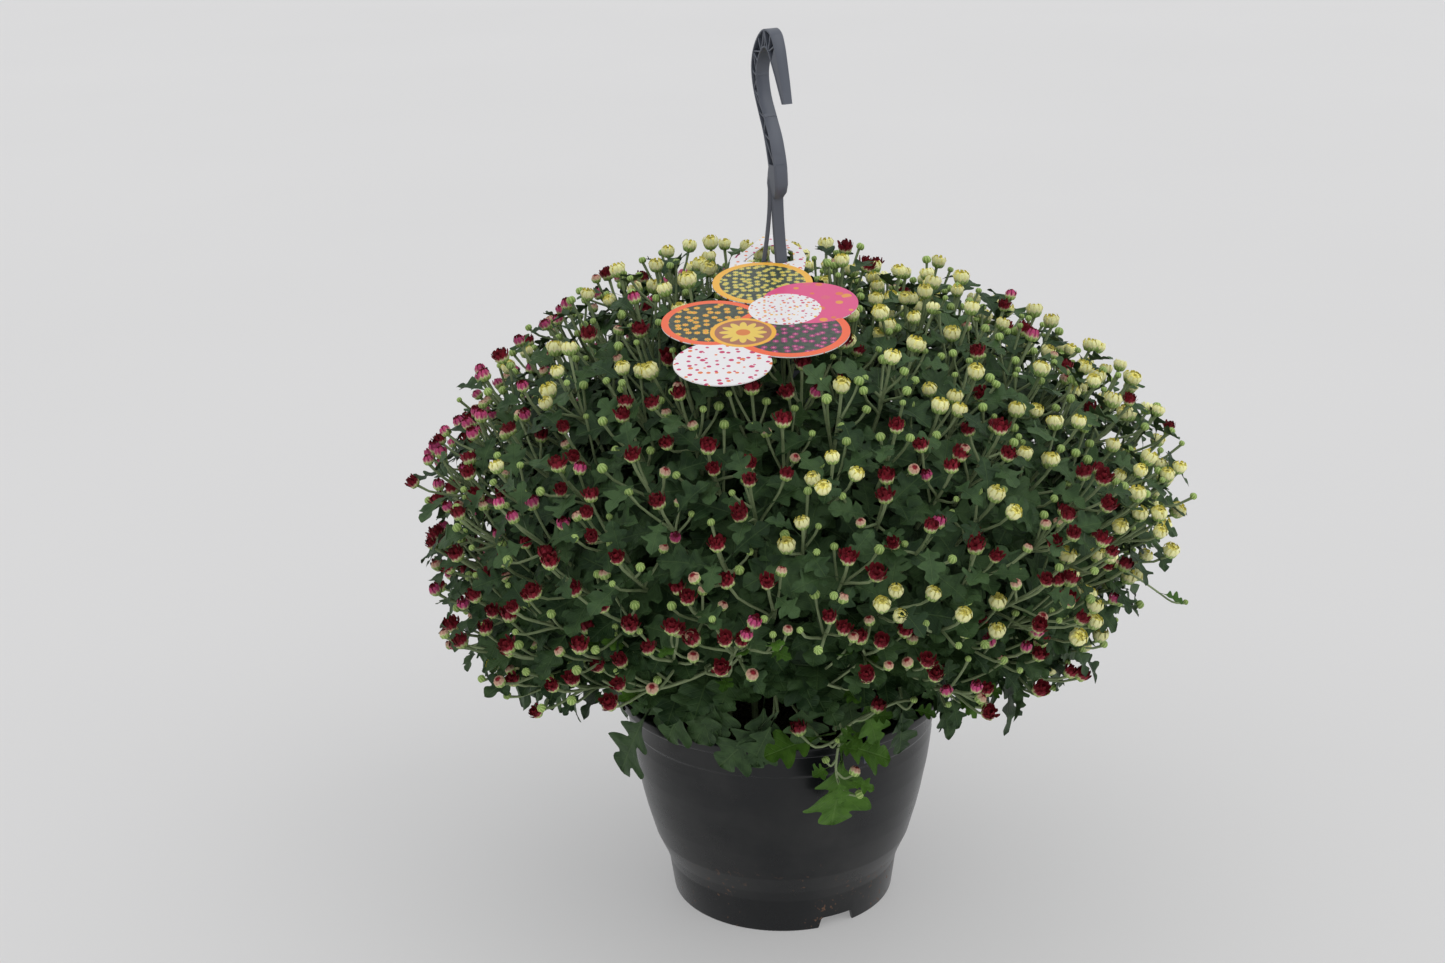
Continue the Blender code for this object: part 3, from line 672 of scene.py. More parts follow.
@dataclass(frozen=True)
class MouldedPlastic(Finish):
    """Satin moulded plastic with a fine grain, scuffs and some settled dust, and a painted sheen where it is
    seen edge-on.
    """

    dark: Colour
    light: Colour
    roughness: float
    dust: float
    dust_height: float
    gloss: float
    film_share: float = 0.05
    film_colour: Colour = (0.35, 0.33, 0.30)
    grazing_sheen_colour: Colour = (0.055, 0.060, 0.070)
    # Painted sheen: a paler, bluish colour blended in where the surface is seen edge-on.
    dust_colour: Colour = (0.20, 0.10, 0.055)

    def paint(self, web: Web, effects: Effects) -> None:
        """Wire the material's nodes with the shared effects."""
        place = web.place()
        mottle = web.use(effects.mottle, {"Place": place, "Scale": 9.0, "Tone": 0.5,
                                          "Dark": self.dark, "Light": self.light})
        grain = web.use(effects.grain, {"Place": place, "Scale": 900.0, "Roughness": self.roughness,
                                        "Spread": 0.16})
        low = web.remap(web.parts(place)["Z"], self.dust_height, 0.0, 0.0, 1.0)
        specks = web.remap(web.noise(place, 230.0), 0.62, 0.67)
        clouds = web.remap(web.noise(place, 22.0), 0.50, 0.58)
        dust = web.times(web.times(specks, clouds), web.times(low, self.dust))
        film = web.times(web.remap(web.noise(place, 14.0, detail=5.0), 0.45, 0.75),
                         self.dust * self.film_share)
        colour = web.blend(film, mottle["Colour"], self.film_colour)
        # Painted sheen: the colour turns paler and bluer towards edge-on faces, standing in for the studio's
        # reflections.
        grazing = web.add("ShaderNodeLayerWeight", {"Blend": 0.35})["Facing"]
        colour = web.blend(web.remap(grazing, 0.45, 1.0, 0.0, 0.5), colour, self.grazing_sheen_colour)
        web.finish({"Base Color": web.blend(dust, colour, self.dust_colour),
                    "Roughness": web.plus(grain["Roughness"], web.times(dust, 0.4)),
                    "Specular IOR Level": self.gloss,
                    "Normal": web.bump(grain["Height"], 0.25, 0.0002)})


POT_PLASTIC = MouldedPlastic("pot_plastic", dark=(0.0040, 0.0050, 0.0062), light=(0.0072, 0.0084, 0.0098),
                             roughness=0.29, dust=1.0, dust_height=0.075, gloss=0.40)
HANGER_PLASTIC = MouldedPlastic("hanger_plastic", dark=(0.080, 0.090, 0.114), light=(0.116, 0.128, 0.156),
                                roughness=0.36, dust=0.2, dust_height=0.02, gloss=0.45)


@dataclass(frozen=True)
class PottingSoil(Finish):
    """Moist peat with fibres and pale specks."""

    name: str = "potting_soil"
    dark: Colour = (0.018, 0.011, 0.007)
    light: Colour = (0.075, 0.048, 0.030)
    speck: Colour = (0.35, 0.30, 0.22)

    def paint(self, web: Web, effects: Effects) -> None:
        """Wire the material's nodes with the shared effects."""
        place = web.place()
        mottle = web.use(effects.mottle, {"Place": place, "Scale": 220.0, "Tone": 0.5,
                                          "Dark": self.dark, "Light": self.light})
        grain = web.use(effects.grain, {"Place": place, "Scale": 420.0, "Roughness": 0.9, "Spread": 0.1})
        specks = web.remap(web.noise(place, 600.0, detail=1.0), 0.70, 0.74)
        lumps = web.plus(grain["Height"], web.times(mottle["Share"], 2.0))
        web.finish({"Base Color": web.blend(specks, mottle["Colour"], self.speck),
                    "Roughness": grain["Roughness"], "Normal": web.bump(lumps, 0.8, 0.0015)})


@dataclass(frozen=True)
class LeafSkin(Finish):
    """A matte leaf: veins, a change of green from leaf to leaf, and a paler reverse."""

    dark: Colour
    light: Colour
    vein: Colour
    reverse: Colour

    def paint(self, web: Web, effects: Effects) -> None:
        """Wire the material's nodes with the shared effects."""
        place = web.place()
        mottle = web.use(effects.mottle, {"Place": place, "Scale": 90.0, "Tone": web.tone(),
                                          "Dark": self.dark, "Light": self.light})
        veins = web.use(effects.veins, {"Place": web.uv()})["Mask"]
        grain = web.use(effects.grain, {"Place": place, "Scale": 1400.0, "Roughness": 0.52,
                                        "Spread": 0.15})
        colour = web.blend(web.times(veins, 0.35), mottle["Colour"], self.vein)
        height = web.minus(web.times(grain["Height"], 0.3), veins)
        web.finish({"Base Color": web.blend(web.times(web.backface(), 0.75), colour, self.reverse),
                    "Roughness": grain["Roughness"], "Specular IOR Level": 0.22,
                    "Normal": web.bump(height, 0.6, 0.0006)})


@dataclass(frozen=True)
class StalkSkin(Finish):
    """A green stalk under short grey hairs."""

    dark: Colour
    light: Colour
    down: Colour = (0.32, 0.38, 0.26)

    def paint(self, web: Web, effects: Effects) -> None:
        """Wire the material's nodes with the shared effects."""
        place = web.place()
        mottle = web.use(effects.mottle, {"Place": place, "Scale": 60.0, "Tone": web.tone(),
                                          "Dark": self.dark, "Light": self.light})
        grain = web.use(effects.grain, {"Place": place, "Scale": 2200.0, "Roughness": 0.62,
                                        "Spread": 0.12})
        hairs = web.times(web.remap(grain["Height"], 0.52, 0.66), 0.45)
        web.finish({"Base Color": web.blend(hairs, mottle["Colour"], self.down),
                    "Roughness": grain["Roughness"], "Specular IOR Level": 0.20,
                    "Normal": web.bump(grain["Height"], 0.5, 0.0002)})


@dataclass(frozen=True)
class BudSkin(Finish):
    """A bud: striped sepals below, petals above, their reverse outside and their face within."""

    count: float
    calyx_top: float
    reverse: Colour
    face: Colour
    sepal: Colour = (0.540, 0.670, 0.245)
    stripe: Colour = (0.230, 0.360, 0.085)

    def paint(self, web: Web, effects: Effects) -> None:
        """Wire the material's nodes with the shared effects."""
        place = web.place()
        bands = web.use(effects.bands, {
            "Map": web.uv(), "Place": place, "Tone": web.tone(), "Count": self.count,
            "Calyx_Top": self.calyx_top, "Sepal": self.sepal, "Stripe": self.stripe,
            "Reverse": self.reverse, "Face": self.face})
        grain = web.use(effects.grain, {"Place": place, "Scale": 1800.0, "Roughness": 0.55,
                                        "Spread": 0.1})
        height = web.plus(bands["Height"], grain["Height"])
        web.finish({"Base Color": web.blend(web.backface(), bands["Colour"], self.face),
                    "Roughness": web.plus(grain["Roughness"], web.times(bands["Open"], 0.25)),
                    "Specular IOR Level": 0.22, "Normal": web.bump(height, 0.5, 0.0004)})


class Motif(Enum):
    """What a printed disc of the tag shows."""

    CONFETTI = "confetti"
    FIELD = "field"
    BLOOM = "bloom"


@dataclass(frozen=True)
class PrintedCard(Finish):
    """Coated card with one plain generic motif, and a coloured ring where it has one."""

    motif: Motif
    ground: Colour
    inks: tuple[Colour, Colour, Colour]
    scale: float
    size: float
    ring: Colour | None = None
    ring_start: float = 0.86

    def motif_colour(self, web: Web, effects: Effects, place: Socket) -> Socket:
        """Return the motif's colour.

        Args:
            web: The material's web.
            effects: The shared effects.
            place: Coordinates on the print.

        Returns:
            The colour's socket.
        """
        first, second, third = self.inks
        inputs = {"Place": place, "Scale": self.scale, "Size": self.size, "Ground": self.ground,
                  "First": first, "Second": second}
        if self.motif is Motif.CONFETTI:
            return web.use(effects.confetti, {**inputs, "Third": third})["Colour"]
        if self.motif is Motif.FIELD:
            return web.use(effects.daisies, inputs)["Colour"]
        reach = web.length(place)
        ray = web.wave(web.azimuth(place), 6.0)
        petals = web.under(reach, web.remap(ray, 0.0, 1.0, self.size * 0.6, self.size))
        colour = web.blend(petals, self.ground, first)
        return web.blend(web.under(reach, self.size * 0.3), colour, second)

    def paint(self, web: Web, effects: Effects) -> None:
        """Wire the material's nodes with the shared effects."""
        place = web.uv()
        colour = self.motif_colour(web, effects, place)
        if self.ring:
            colour = web.blend(web.over(web.length(place), self.ring_start), colour, self.ring)
        grain = web.use(effects.grain, {"Place": web.place(), "Scale": 1500.0, "Roughness": 0.36,
                                        "Spread": 0.1})
        web.finish({"Base Color": colour, "Roughness": grain["Roughness"],
                    "Normal": web.bump(grain["Height"], 0.06, 0.0001)})


@dataclass(frozen=True)
class StudioFloor(Finish):
    """A plain pale matte floor, lit a little from below so that shadows on it stay soft."""

    name: str = "studio_floor"
    colour: Colour = (0.475, 0.468, 0.462)
    glow: float = 0.252

    def paint(self, web: Web, effects: Effects) -> None:
        """Wire the material's nodes with the shared effects."""
        mottle = web.use(effects.mottle, {"Place": web.place(), "Scale": 0.8, "Tone": 0.5,
                                          "Dark": tuple(0.97 * part for part in self.colour),
                                          "Light": self.colour})
        web.finish({"Base Color": mottle["Colour"], "Roughness": 0.6, "Emission Color": (1.0, 1.0, 1.0),
                    "Emission Strength": self.glow})


# Pot and soil

@dataclass
class Pot:
    """The hanging pot: one moulded shell with a rolled lip, a collar, a waist and a notched foot."""

    foot_radius: float = 0.0924
    waist_radius: float = 0.1000
    waist_z: float = 0.040
    wall: float = 0.0022
    floor_z: float = 0.012
    collar_z: float = 0.156
    notches: int = 3
    notch_width: float = 0.034
    notch_height: float = 0.010
    notch_azimuth: float = -62.0
    drain_radius: float = 0.005
    drain_ring: float = 0.074
    steps: int = 144

    def profile(self) -> Profile:
        """Return the closed wall's profile, from under the floor, round the foot and lip, to the floor."""
        collar = WALL_TOP_RADIUS - 0.0015
        lip = POT_HEIGHT - LIP_HEIGHT
        inner = WALL_TOP_RADIUS - self.wall
        foot_inner = self.foot_radius - 0.0030
        return [
            (0.0, self.floor_z), (foot_inner, self.floor_z), (foot_inner, 0.0), (self.foot_radius, 0.0),
            (self.waist_radius - 0.0035, self.waist_z - 0.010), (self.waist_radius, self.waist_z),
            (self.waist_radius + 0.0072, self.waist_z + 0.016), (0.1138, 0.080), (0.1172, 0.095),
            (0.1196, 0.108), (0.1222, 0.121), (0.1240, 0.134), (collar, 0.146), (collar, self.collar_z),
            (WALL_TOP_RADIUS, self.collar_z + 0.0015), (WALL_TOP_RADIUS, lip - 0.002),
            (LIP_RADIUS - 0.001, lip - 0.001), (LIP_RADIUS, lip + 0.001), (LIP_RADIUS, POT_HEIGHT - 0.0015),
            (LIP_RADIUS - 0.0015, POT_HEIGHT), (inner + 0.001, POT_HEIGHT), (inner, POT_HEIGHT - 0.0015),
            (inner - 0.002, self.collar_z), (0.1240 - self.wall, 0.134), (0.1138 - self.wall, 0.080),
            (self.waist_radius + 0.0050, self.waist_z + 0.016), (self.waist_radius - self.wall, self.waist_z),
            (self.foot_radius + 0.0010 - self.wall, self.floor_z + self.wall),
            (0.0, self.floor_z + self.wall),
        ]

    def build(self, surface: Surface) -> Piece:
        """Turn the shell, cut the notches and the drainage holes, and return the pot."""
        vertices, faces = lathe(eased(self.profile(), 0.0012), self.steps)
        pot = join_shapes("pot_shell", [(vertices, faces)], surface)
        cutters = []
        half = self.notch_width / 2
        near = self.foot_radius - 0.013
        for k in range(self.notches):
            azimuth = self.notch_azimuth + 360.0 * k / self.notches
            turn = Matrix.Rotation(math.radians(azimuth), 4, "Z")
            corners = ((-half, -0.004), (half, -0.004), (half - 0.003, self.notch_height - 0.001),
                       (half - 0.0045, self.notch_height), (-half + 0.0045, self.notch_height),
                       (-half + 0.003, self.notch_height - 0.001))
            sections = [[turn @ Vector((reach, y, z)) for y, z in corners] for reach in (near, near + 0.03)]
            cutters.append(join_shapes("notch", [loft(sections)], surface))
            for side in (-20.0, 20.0):
                points, sides = lathe([(self.drain_radius, 0.006), (self.drain_radius, 0.022)], 24)
                place = polar(self.drain_ring, azimuth + side)
                cutters.append(join_shapes("drain", [([place + point for point in points], sides)], surface))
        boolean(pot, cutters, "DIFFERENCE")
        pot.data.transform(Matrix.Translation(POT_AXIS))
        shade(pot, 32.0)
        return settle(pot, "pot", "pot")


@dataclass
class Soil:
    """Loose crumbs of peat on the soil's own solid."""

    crumbs: int = 700
    crumb_size: float = 0.0042
    seed: int = 5

    def crumb(self, number: int) -> Piece:
        """Return one crumb shape of a few faces."""
        draw = random.Random(number)
        work = bmesh.new()
        bmesh.ops.create_icosphere(work, subdivisions=1, radius=0.5)
        for vertex in work.verts:
            vertex.co *= draw.uniform(0.65, 1.1)
            vertex.co.z *= 0.7
        item = add_object(f"crumb_{number}", [], [])
        work.to_mesh(item.data)
        work.free()
        return item

    def build(self, surface: Surface, solid: Piece) -> Piece:
        """Dress the solid and scatter the crumbs over it.

        Args:
            surface: The soil's finish.
            solid: The CAD node.

        Returns:
            The crumbs.
        """
        for slot in solid.material_slots:
            slot.material = surface
        draw = random.Random(self.seed)
        table = PointTable()
        for _ in range(self.crumbs):
            reach = SOIL_RADIUS * math.sqrt(draw.random())
            sink = 0.004 * max(0.0, reach - 0.090) / (SOIL_RADIUS - 0.090)
            place = POT_AXIS + polar(reach, draw.uniform(0.0, 360.0), SOIL_Z - sink)
            table.add(place, lie=random_direction(draw), face=UP + random_direction(draw) * 0.4,
                      size=self.crumb_size * draw.uniform(0.5, 1.3), tone=draw.random(),
                      shape=draw.randrange(3))
        shapes = [self.crumb(number) for number in range(3)]
        item = scatter("soil_crumbs", table, shapes, [surface], "X")
        discard(shapes)
        return settle(item, "soil")


# Hanger

@dataclass
class Hanger:
    """The moulded hanger: a latticed hook, a neck, three straps and their clips."""

    hook_azimuth: float = 300.0
    band_width: float = 0.0115
    tip_width: float = 0.0075
    web_thickness: float = 0.0030
    rib: float = 0.0015
    recess: float = 0.0004
    strap_width: float = 0.0096
    strap_thickness: float = 0.0032
    clip_width: float = 0.0130
    clip_drop: float = 0.016
    back: Profile = field(default_factory=lambda: [
        (0.0015, JUNCTION_Z), (0.0005, 0.614), (-0.0065, 0.638), (-0.0140, 0.654),
        (-0.0210, 0.670), (-0.0240, 0.685), (-0.0215, 0.699), (-0.0140, 0.711),
        (-0.0045, 0.7174), (0.0045, 0.7150), (0.0100, 0.7060), (0.0140, 0.694),
        (0.0180, 0.680), (0.0220, 0.664),
    ])
    front: Profile = field(default_factory=lambda: [
        (0.0095, JUNCTION_Z), (0.0100, 0.614), (0.0040, 0.634), (-0.0045, 0.650),
        (-0.0125, 0.665), (-0.0160, 0.680), (-0.0140, 0.691), (-0.0090, 0.700),
        (-0.0040, 0.7035), (0.0005, 0.7010), (0.0045, 0.6930), (0.0090, 0.684),
        (0.0135, 0.674), (0.0182, 0.6635),
    ])
    neck: tuple[tuple[float, float, float, float], ...] = (
        (-0.0100, 0.0000, 0.0080, 0.0080), (-0.0055, -0.0026, 0.0112, 0.0106),
        (0.0010, -0.0030, 0.0122, 0.0118), (0.0090, -0.0016, 0.0116, 0.0119),
        (0.0160, -0.0002, 0.0103, 0.0117),
    )
    steps: int = 5

    def edge(self, profile: Profile) -> list[Vector]:
        """Return one edge of the hook as a smooth curve in the hook's own plane."""
        return smooth_curve([Vector((u, 0.0, z)) for u, z in profile], self.steps)

    def width(self, share: float) -> float:
        """Return the hook's width at a share of its length from the neck."""
        return self.band_width + (self.tip_width - self.band_width) * max(0.0, share - 0.6) / 0.4

    def hook_shapes(self) -> list[Shape]:
        """Return the hook's web, its two flanges, its ribs and its solid ends."""
        back = self.edge(self.back)
        front = self.edge(self.front)
        last = len(back) - 1
        side = Vector((0.0, 1.0, 0.0))
        shapes = []
        solid_from = (len(self.back) - 4) * self.steps
        solid_to = self.steps

        def plate(first: int, end: int, full: bool) -> None:
            """Add the plate between the two edges, over one stretch, sunk under their flanges."""
            sections = []
            for k in range(first, end + 1):
                across = (front[k] - back[k]).normalized()
                thick = self.width(k / last) - 2 * self.recess if full else self.web_thickness
                span = (front[k] - back[k]).length - 2 * self.recess
                sections.append(bar_section((back[k] + front[k]) / 2, across, side,
                                            span, thick, min(0.0005, span / 5)))
            shapes.append(loft(sections))

        plate(0, last, False)
        plate(0, solid_to, True)
        plate(solid_from, last, True)
        for edge, other in ((back, front), (front, back)):
            sections = []
            for k in range(last + 1):
                inward = (other[k] - edge[k]).normalized()
                sections.append(bar_section(edge[k] + inward * self.rib / 2, inward, side,
                                            self.rib, self.width(k / last), 0.0003))
            shapes.append(loft(sections))
        for k in range(1, len(self.back) - 4):
            here = k * self.steps
            there = here + self.steps
            for start, end in ((back[here], front[here]),
                               (front[here], back[there]) if k % 2 else (back[here], front[there])):
                along = (end - start).normalized()
                out = along.cross(side)
                ends = [bar_section(point, side, out, self.width(k * self.steps / last) - 0.0010,
                                    self.rib * 0.85, 0.0002)
                        for point in (start + along * self.rib * 0.7, end - along * self.rib * 0.7)]
                shapes.append(loft(ends))
        turn = Matrix.Rotation(math.radians(self.hook_azimuth), 3, "Z")
        return [([turn @ point for point in points], faces) for points, faces in shapes]

    def neck_shape(self) -> Shape:
        """Return the solid neck that the hook runs into and the straps come out of."""
        out = polar(1.0, self.hook_azimuth)
        side = polar(1.0, self.hook_azimuth + 90.0)
        sections = []
        for rise, back, front, width in self.neck:
            middle = out * (back + front) / 2 + UP * (JUNCTION_Z + rise)
            sections.append(bar_section(middle, out, side, front - back, width, 0.0016))
        return loft(sections)

    def strap_shapes(self, azimuth: float) -> list[Shape]:
        """Return one strap and its clip."""
        route = smooth_curve([polar(r, azimuth, z) for r, z in STRAP_ROUTE], 6)
        side = polar(1.0, azimuth + 90.0)
        sections = []
        for k, point in enumerate(route):
            along = (route[min(k + 1, len(route) - 1)] - route[max(k - 1, 0)]).normalized()
            out = side.cross(along).normalized()
            sections.append(bar_section(point, side, out, self.strap_width, self.strap_thickness, 0.0005))
        lip = POT_HEIGHT - LIP_HEIGHT
        top = lip - 0.0023
        inner = WALL_TOP_RADIUS + 0.0006
        outer = LIP_RADIUS + 0.0042
        grip = [(inner, top), (inner, top - 0.003), (outer, top - self.clip_drop / 2),
                (outer, lip + 0.006), (LIP_RADIUS + 0.0006, lip + 0.006), (LIP_RADIUS + 0.0006, top)]
        ends = [[polar(r, azimuth, z) + side * self.clip_width * half for r, z in grip]
                for half in (-0.5, 0.5)]
        return [loft(sections), loft(ends)]

    def build(self, surface: Surface) -> Piece:
        """Join every shape and return the hanger."""
        shapes = self.hook_shapes() + [self.neck_shape()]
        for azimuth in LEG_AZIMUTHS:
            shapes += self.strap_shapes(azimuth)
        hanger = join_shapes("moulded_hanger", shapes, surface)
        hanger.data.transform(Matrix.Translation(POT_AXIS))
        shade(hanger, 40.0)
        return settle(hanger, "hanger", "hanger")


# Tag

WHITE = (0.90, 0.88, 0.88)
PINK_INK = (0.62, 0.035, 0.14)
ORANGE_INK = (0.85, 0.19, 0.045)
YELLOW_INK = (0.90, 0.50, 0.035)
MAGENTA_INK = (0.42, 0.030, 0.20)
LEAFY_INK = (0.030, 0.038, 0.032)
RING_ORANGE = (0.96, 0.145, 0.045)
RING_YELLOW = (0.96, 0.50, 0.045)


@dataclass(frozen=True)
class PrintedDisc:
    """One disc of the tag's print: where it lies on the card, how large it is and what it shows."""

    x: float
    y: float
    radius: float
    finish: PrintedCard


def printed_discs() -> list[PrintedDisc]:
    """Return the tag's print, from the lowest layer to the top one."""
    party = (PINK_INK, ORANGE_INK, YELLOW_INK)
    return [
        PrintedDisc(-0.038, -0.185, 0.035, PrintedCard(
            "card_foot", Motif.CONFETTI, WHITE, (PINK_INK, PINK_INK, ORANGE_INK), 5.0, 0.30)),
        PrintedDisc(-0.046, -0.118, 0.038, PrintedCard(
            "card_left", Motif.FIELD, LEAFY_INK, (YELLOW_INK, ORANGE_INK, PINK_INK), 5.2, 0.36,
            RING_ORANGE)),
        PrintedDisc(-0.010, -0.049, 0.038, PrintedCard(
            "card_top", Motif.FIELD, LEAFY_INK, ((0.66, 0.62, 0.14), YELLOW_INK, PINK_INK), 6.5, 0.42,
            RING_YELLOW)),
        PrintedDisc(0.0105, -0.134, 0.043, PrintedCard(
            "card_right", Motif.FIELD, LEAFY_INK, (MAGENTA_INK, (0.75, 0.25, 0.30), PINK_INK), 6.0, 0.36,
            RING_ORANGE)),
        PrintedDisc(0.025, -0.086, 0.036, PrintedCard(
            "card_pink", Motif.CONFETTI, (0.80, 0.085, 0.25),
            ((0.80, 0.20, 0.06), (0.78, 0.12, 0.20), (0.85, 0.35, 0.06)), 2.6, 0.28)),
        PrintedDisc(-0.024, -0.136, 0.024, PrintedCard(
            "card_bloom", Motif.BLOOM, (0.42, 0.16, 0.085), ((0.88, 0.62, 0.10), (0.75, 0.22, 0.04),
                                                            PINK_INK), 1.0, 0.72, RING_YELLOW)),
        PrintedDisc(0.0065, -0.097, 0.027, PrintedCard(
            "card_white", Motif.CONFETTI, WHITE, party, 6.0, 0.30)),
    ]


@dataclass
class Tag:
    """The die-cut card with its loop, and the print on it."""

    outline_steps: int = 96
    ink: float = 0.00003
    card: PrintedCard = PrintedCard("card_stock", Motif.CONFETTI, WHITE,
                                    (PINK_INK, ORANGE_INK, YELLOW_INK), 150.0, 0.26)

    def place(self) -> Matrix:
        """Return the turn and shift from the card's own plane to the frame."""
        return Matrix.Translation((POT_X, 0.0, TAG_Z)) @ Matrix.Rotation(math.radians(TAG_TILT), 4, "X")

    def slab(self, name: str, outline: list, low: float, high: float, surface: Surface) -> Piece:
        """Return a flat slab in the card's plane.

        Args:
            name: Its name.
            outline: Its outline's points, across and along the card.
            low: Its lower face's height.
            high: Its upper face's height.
            surface: Its material.

        Returns:
            The slab.
        """
        sections = [[Vector((x, y, z)) for x, y in outline] for z in (low, high)]
        return join_shapes(name, [loft(sections)], surface)

    def round_outline(self, disc: PrintedDisc) -> list:
        """Return one disc's outline."""
        turns = [2 * math.pi * k / self.outline_steps for k in range(self.outline_steps)]
        return [(disc.x + disc.radius * math.cos(turn), disc.y + disc.radius * math.sin(turn))
                for turn in turns]

    def map_print(self, item: Piece, x: float, y: float, unit: float) -> None:
        """Give a piece a UV map in its print's own units, from its middle."""
        layer = item.data.uv_layers.new(name="UVMap")
        for loop in item.data.loops:
            spot = item.data.vertices[loop.vertex_index].co
            layer.data[loop.index].uv = ((spot.x - x) / unit, (spot.y - y) / unit)

    def build(self, effects: Effects) -> list[Piece]:
        """Cut the card, lay the print on it, and return the pieces."""
        surface = self.card.build(effects)
        discs = printed_discs()
        shapes = []
        for disc in discs:
            shapes.append(self.slab("disc", self.round_outline(disc), 0.0, TAG_THICKNESS, surface))
        shapes.append(self.slab("loop", LOOP_OUTER, 0.0, TAG_THICKNESS, surface))
        card = shapes.pop(0)
        card.name = "tag_card"
        boolean(card, shapes, "UNION")
        hole = self.slab("hole", LOOP_INNER, -0.004, 0.006, surface)
        boolean(card, [hole], "DIFFERENCE")
        self.map_print(card, 0.0, 0.0, 1.0)
        card.data.transform(self.place())
        pieces = [settle(card, "tag", "tag")]
        for level, disc in enumerate(discs):
            top = TAG_THICKNESS + self.ink * (level + 1)
            layer = self.slab("print_" + disc.finish.name[5:], self.round_outline(disc),
                              TAG_THICKNESS - self.ink, top, disc.finish.build(effects))
            self.map_print(layer, disc.x, disc.y, disc.radius)
            layer.data.transform(self.place())
            pieces.append(settle(layer, "tag", "tag"))
        return pieces


# Scattering

@dataclass
class PointTable:
    """Places for a repeated shape, with what each one carries."""

    places: list[Vector] = field(default_factory=list)
    values: dict[str, list] = field(default_factory=dict)

    def add(self, place: Vector, **values: object) -> None:
        """Add one place and its values."""
        self.places.append(place)
        for name, value in values.items():
            self.values.setdefault(name, []).append(value)

    def cloud(self, name: str) -> Piece:
        """Return the places as loose points that carry their values."""
        item = add_object(name, self.places, [])
        for label, values in self.values.items():
            carry(item.data, label, values)
        return item


@dataclass(frozen=True)
class Girth:
    """A stalk's radius at its foot and near its tip, and how much thicker its end is under a bud."""

    foot: float
    tip: float
    flare: float = 1.0


@dataclass
class StrandTable:
    """Stalks as open lines, each point with its own girth."""

    places: list[Vector] = field(default_factory=list)
    edges: list[tuple[int, int]] = field(default_factory=list)
    girths: list[float] = field(default_factory=list)
    tones: list[float] = field(default_factory=list)

    def add(self, route: list[Vector], girth: Girth, tone: float) -> None:
        """Add one stalk.

        Args:
            route: Its points from foot to tip.
            girth: How thick it is.
            tone: Its shade, from 0 to 1.
        """
        start = len(self.places)
        last = len(route) - 1
        self.places += route
        self.edges += [(start + k, start + k + 1) for k in range(last)]
        self.girths += [girth.foot + (girth.tip - girth.foot) * k / last for k in range(last + 1)]
        self.girths[-1] *= girth.flare
        self.tones += [tone] * len(route)

    def lines(self, name: str) -> Piece:
        """Return the stalks as a mesh of edges that carry their girths."""
        item = add_object(name, [], [])
        item.data.clear_geometry()
        item.data.from_pydata([tuple(place) for place in self.places], self.edges, [])
        carry(item.data, "girth", self.girths)
        carry(item.data, "tone", self.tones)
        return item


def carry(mesh: bpy.types.Mesh, name: str, values: list) -> None:
    """Give each point of a mesh its own value.

    Args:
        mesh: The mesh.
        name: The attribute's name.
        values: Numbers, whole numbers or directions, one for each point.
    """
    if isinstance(values[0], Vector):
        layer = mesh.attributes.new(name, "FLOAT_VECTOR", "POINT")
        layer.data.foreach_set("vector", [part for value in values for part in value])
        return
    layer = mesh.attributes.new(name, "INT" if isinstance(values[0], int) else "FLOAT", "POINT")
    layer.data.foreach_set("value", values)


def random_direction(draw: random.Random) -> Vector:
    """Return a direction drawn evenly from all."""
    z = draw.uniform(-1.0, 1.0)
    return polar(math.sqrt(1.0 - z * z), draw.uniform(0.0, 360.0), z)


def named(web: Web, name: str, kind: str) -> Socket:
    """Return the socket of an attribute that the points carry."""
    return web.add("GeometryNodeInputNamedAttribute", {"Name": name}, data_type=kind)[0]


def scatter_tree(surfaces: list[Surface], primary: str) -> Tree:
    """Build the tree that sets a shape on each point, by the directions and size that it carries.

    Args:
        surfaces: The materials. With more than one, a point's number "kind" picks its own.
        primary: The shape's axis that follows "lie" exactly, X or Z.

    Returns:
        The tree. Its inputs are the shapes' collection and an overall size.
    """
    web, given = open_group("scatter", {"Geometry": "Points", "Collection": "Shapes", "Float": "Size"},
                            {"Geometry": "Pieces"}, "GeometryNodeTree")
    shapes = web.add("GeometryNodeCollectionInfo", {"Collection": given["Shapes"],
                                                    "Separate Children": True, "Reset Children": True})
    turn = web.add("FunctionNodeAxesToRotation",
                   {"Primary Axis": named(web, "lie", "FLOAT_VECTOR"),
                    "Secondary Axis": named(web, "face", "FLOAT_VECTOR")},
                   primary_axis=primary, secondary_axis="Z" if primary == "X" else "X")
    size = web.times(named(web, "size", "FLOAT"), given["Size"])
    placed = web.add("GeometryNodeInstanceOnPoints",
                     {"Points": given["Points"], "Instance": shapes[0], "Pick Instance": True,
                      "Instance Index": named(web, "shape", "INT"), "Rotation": turn[0],
                      "Scale": size})
    real = web.add("GeometryNodeRealizeInstances", {"Geometry": placed[0]})
    result = web.add("GeometryNodeSetShadeSmooth", {"Geometry": real[0]})[0]
    for number, surface in enumerate(surfaces):
        inputs = {"Geometry": result, "Material": surface}
        if len(surfaces) > 1:
            same = web.add("FunctionNodeCompare", {"A_INT": named(web, "kind", "INT"), "B_INT": number},
                           data_type="INT", operation="EQUAL")
            inputs["Selection"] = same[0]
        result = web.add("GeometryNodeSetMaterial", inputs)[0]
    web.finish({"Pieces": result})
    return web.tree


def set_input(modifier: bpy.types.Modifier, name: str, value: object) -> None:
    """Set a Geometry Nodes modifier's input by its name."""
    for socket in modifier.node_group.interface.items_tree:
        if socket.name == name and socket.in_out == "INPUT":
            modifier[socket.identifier] = value


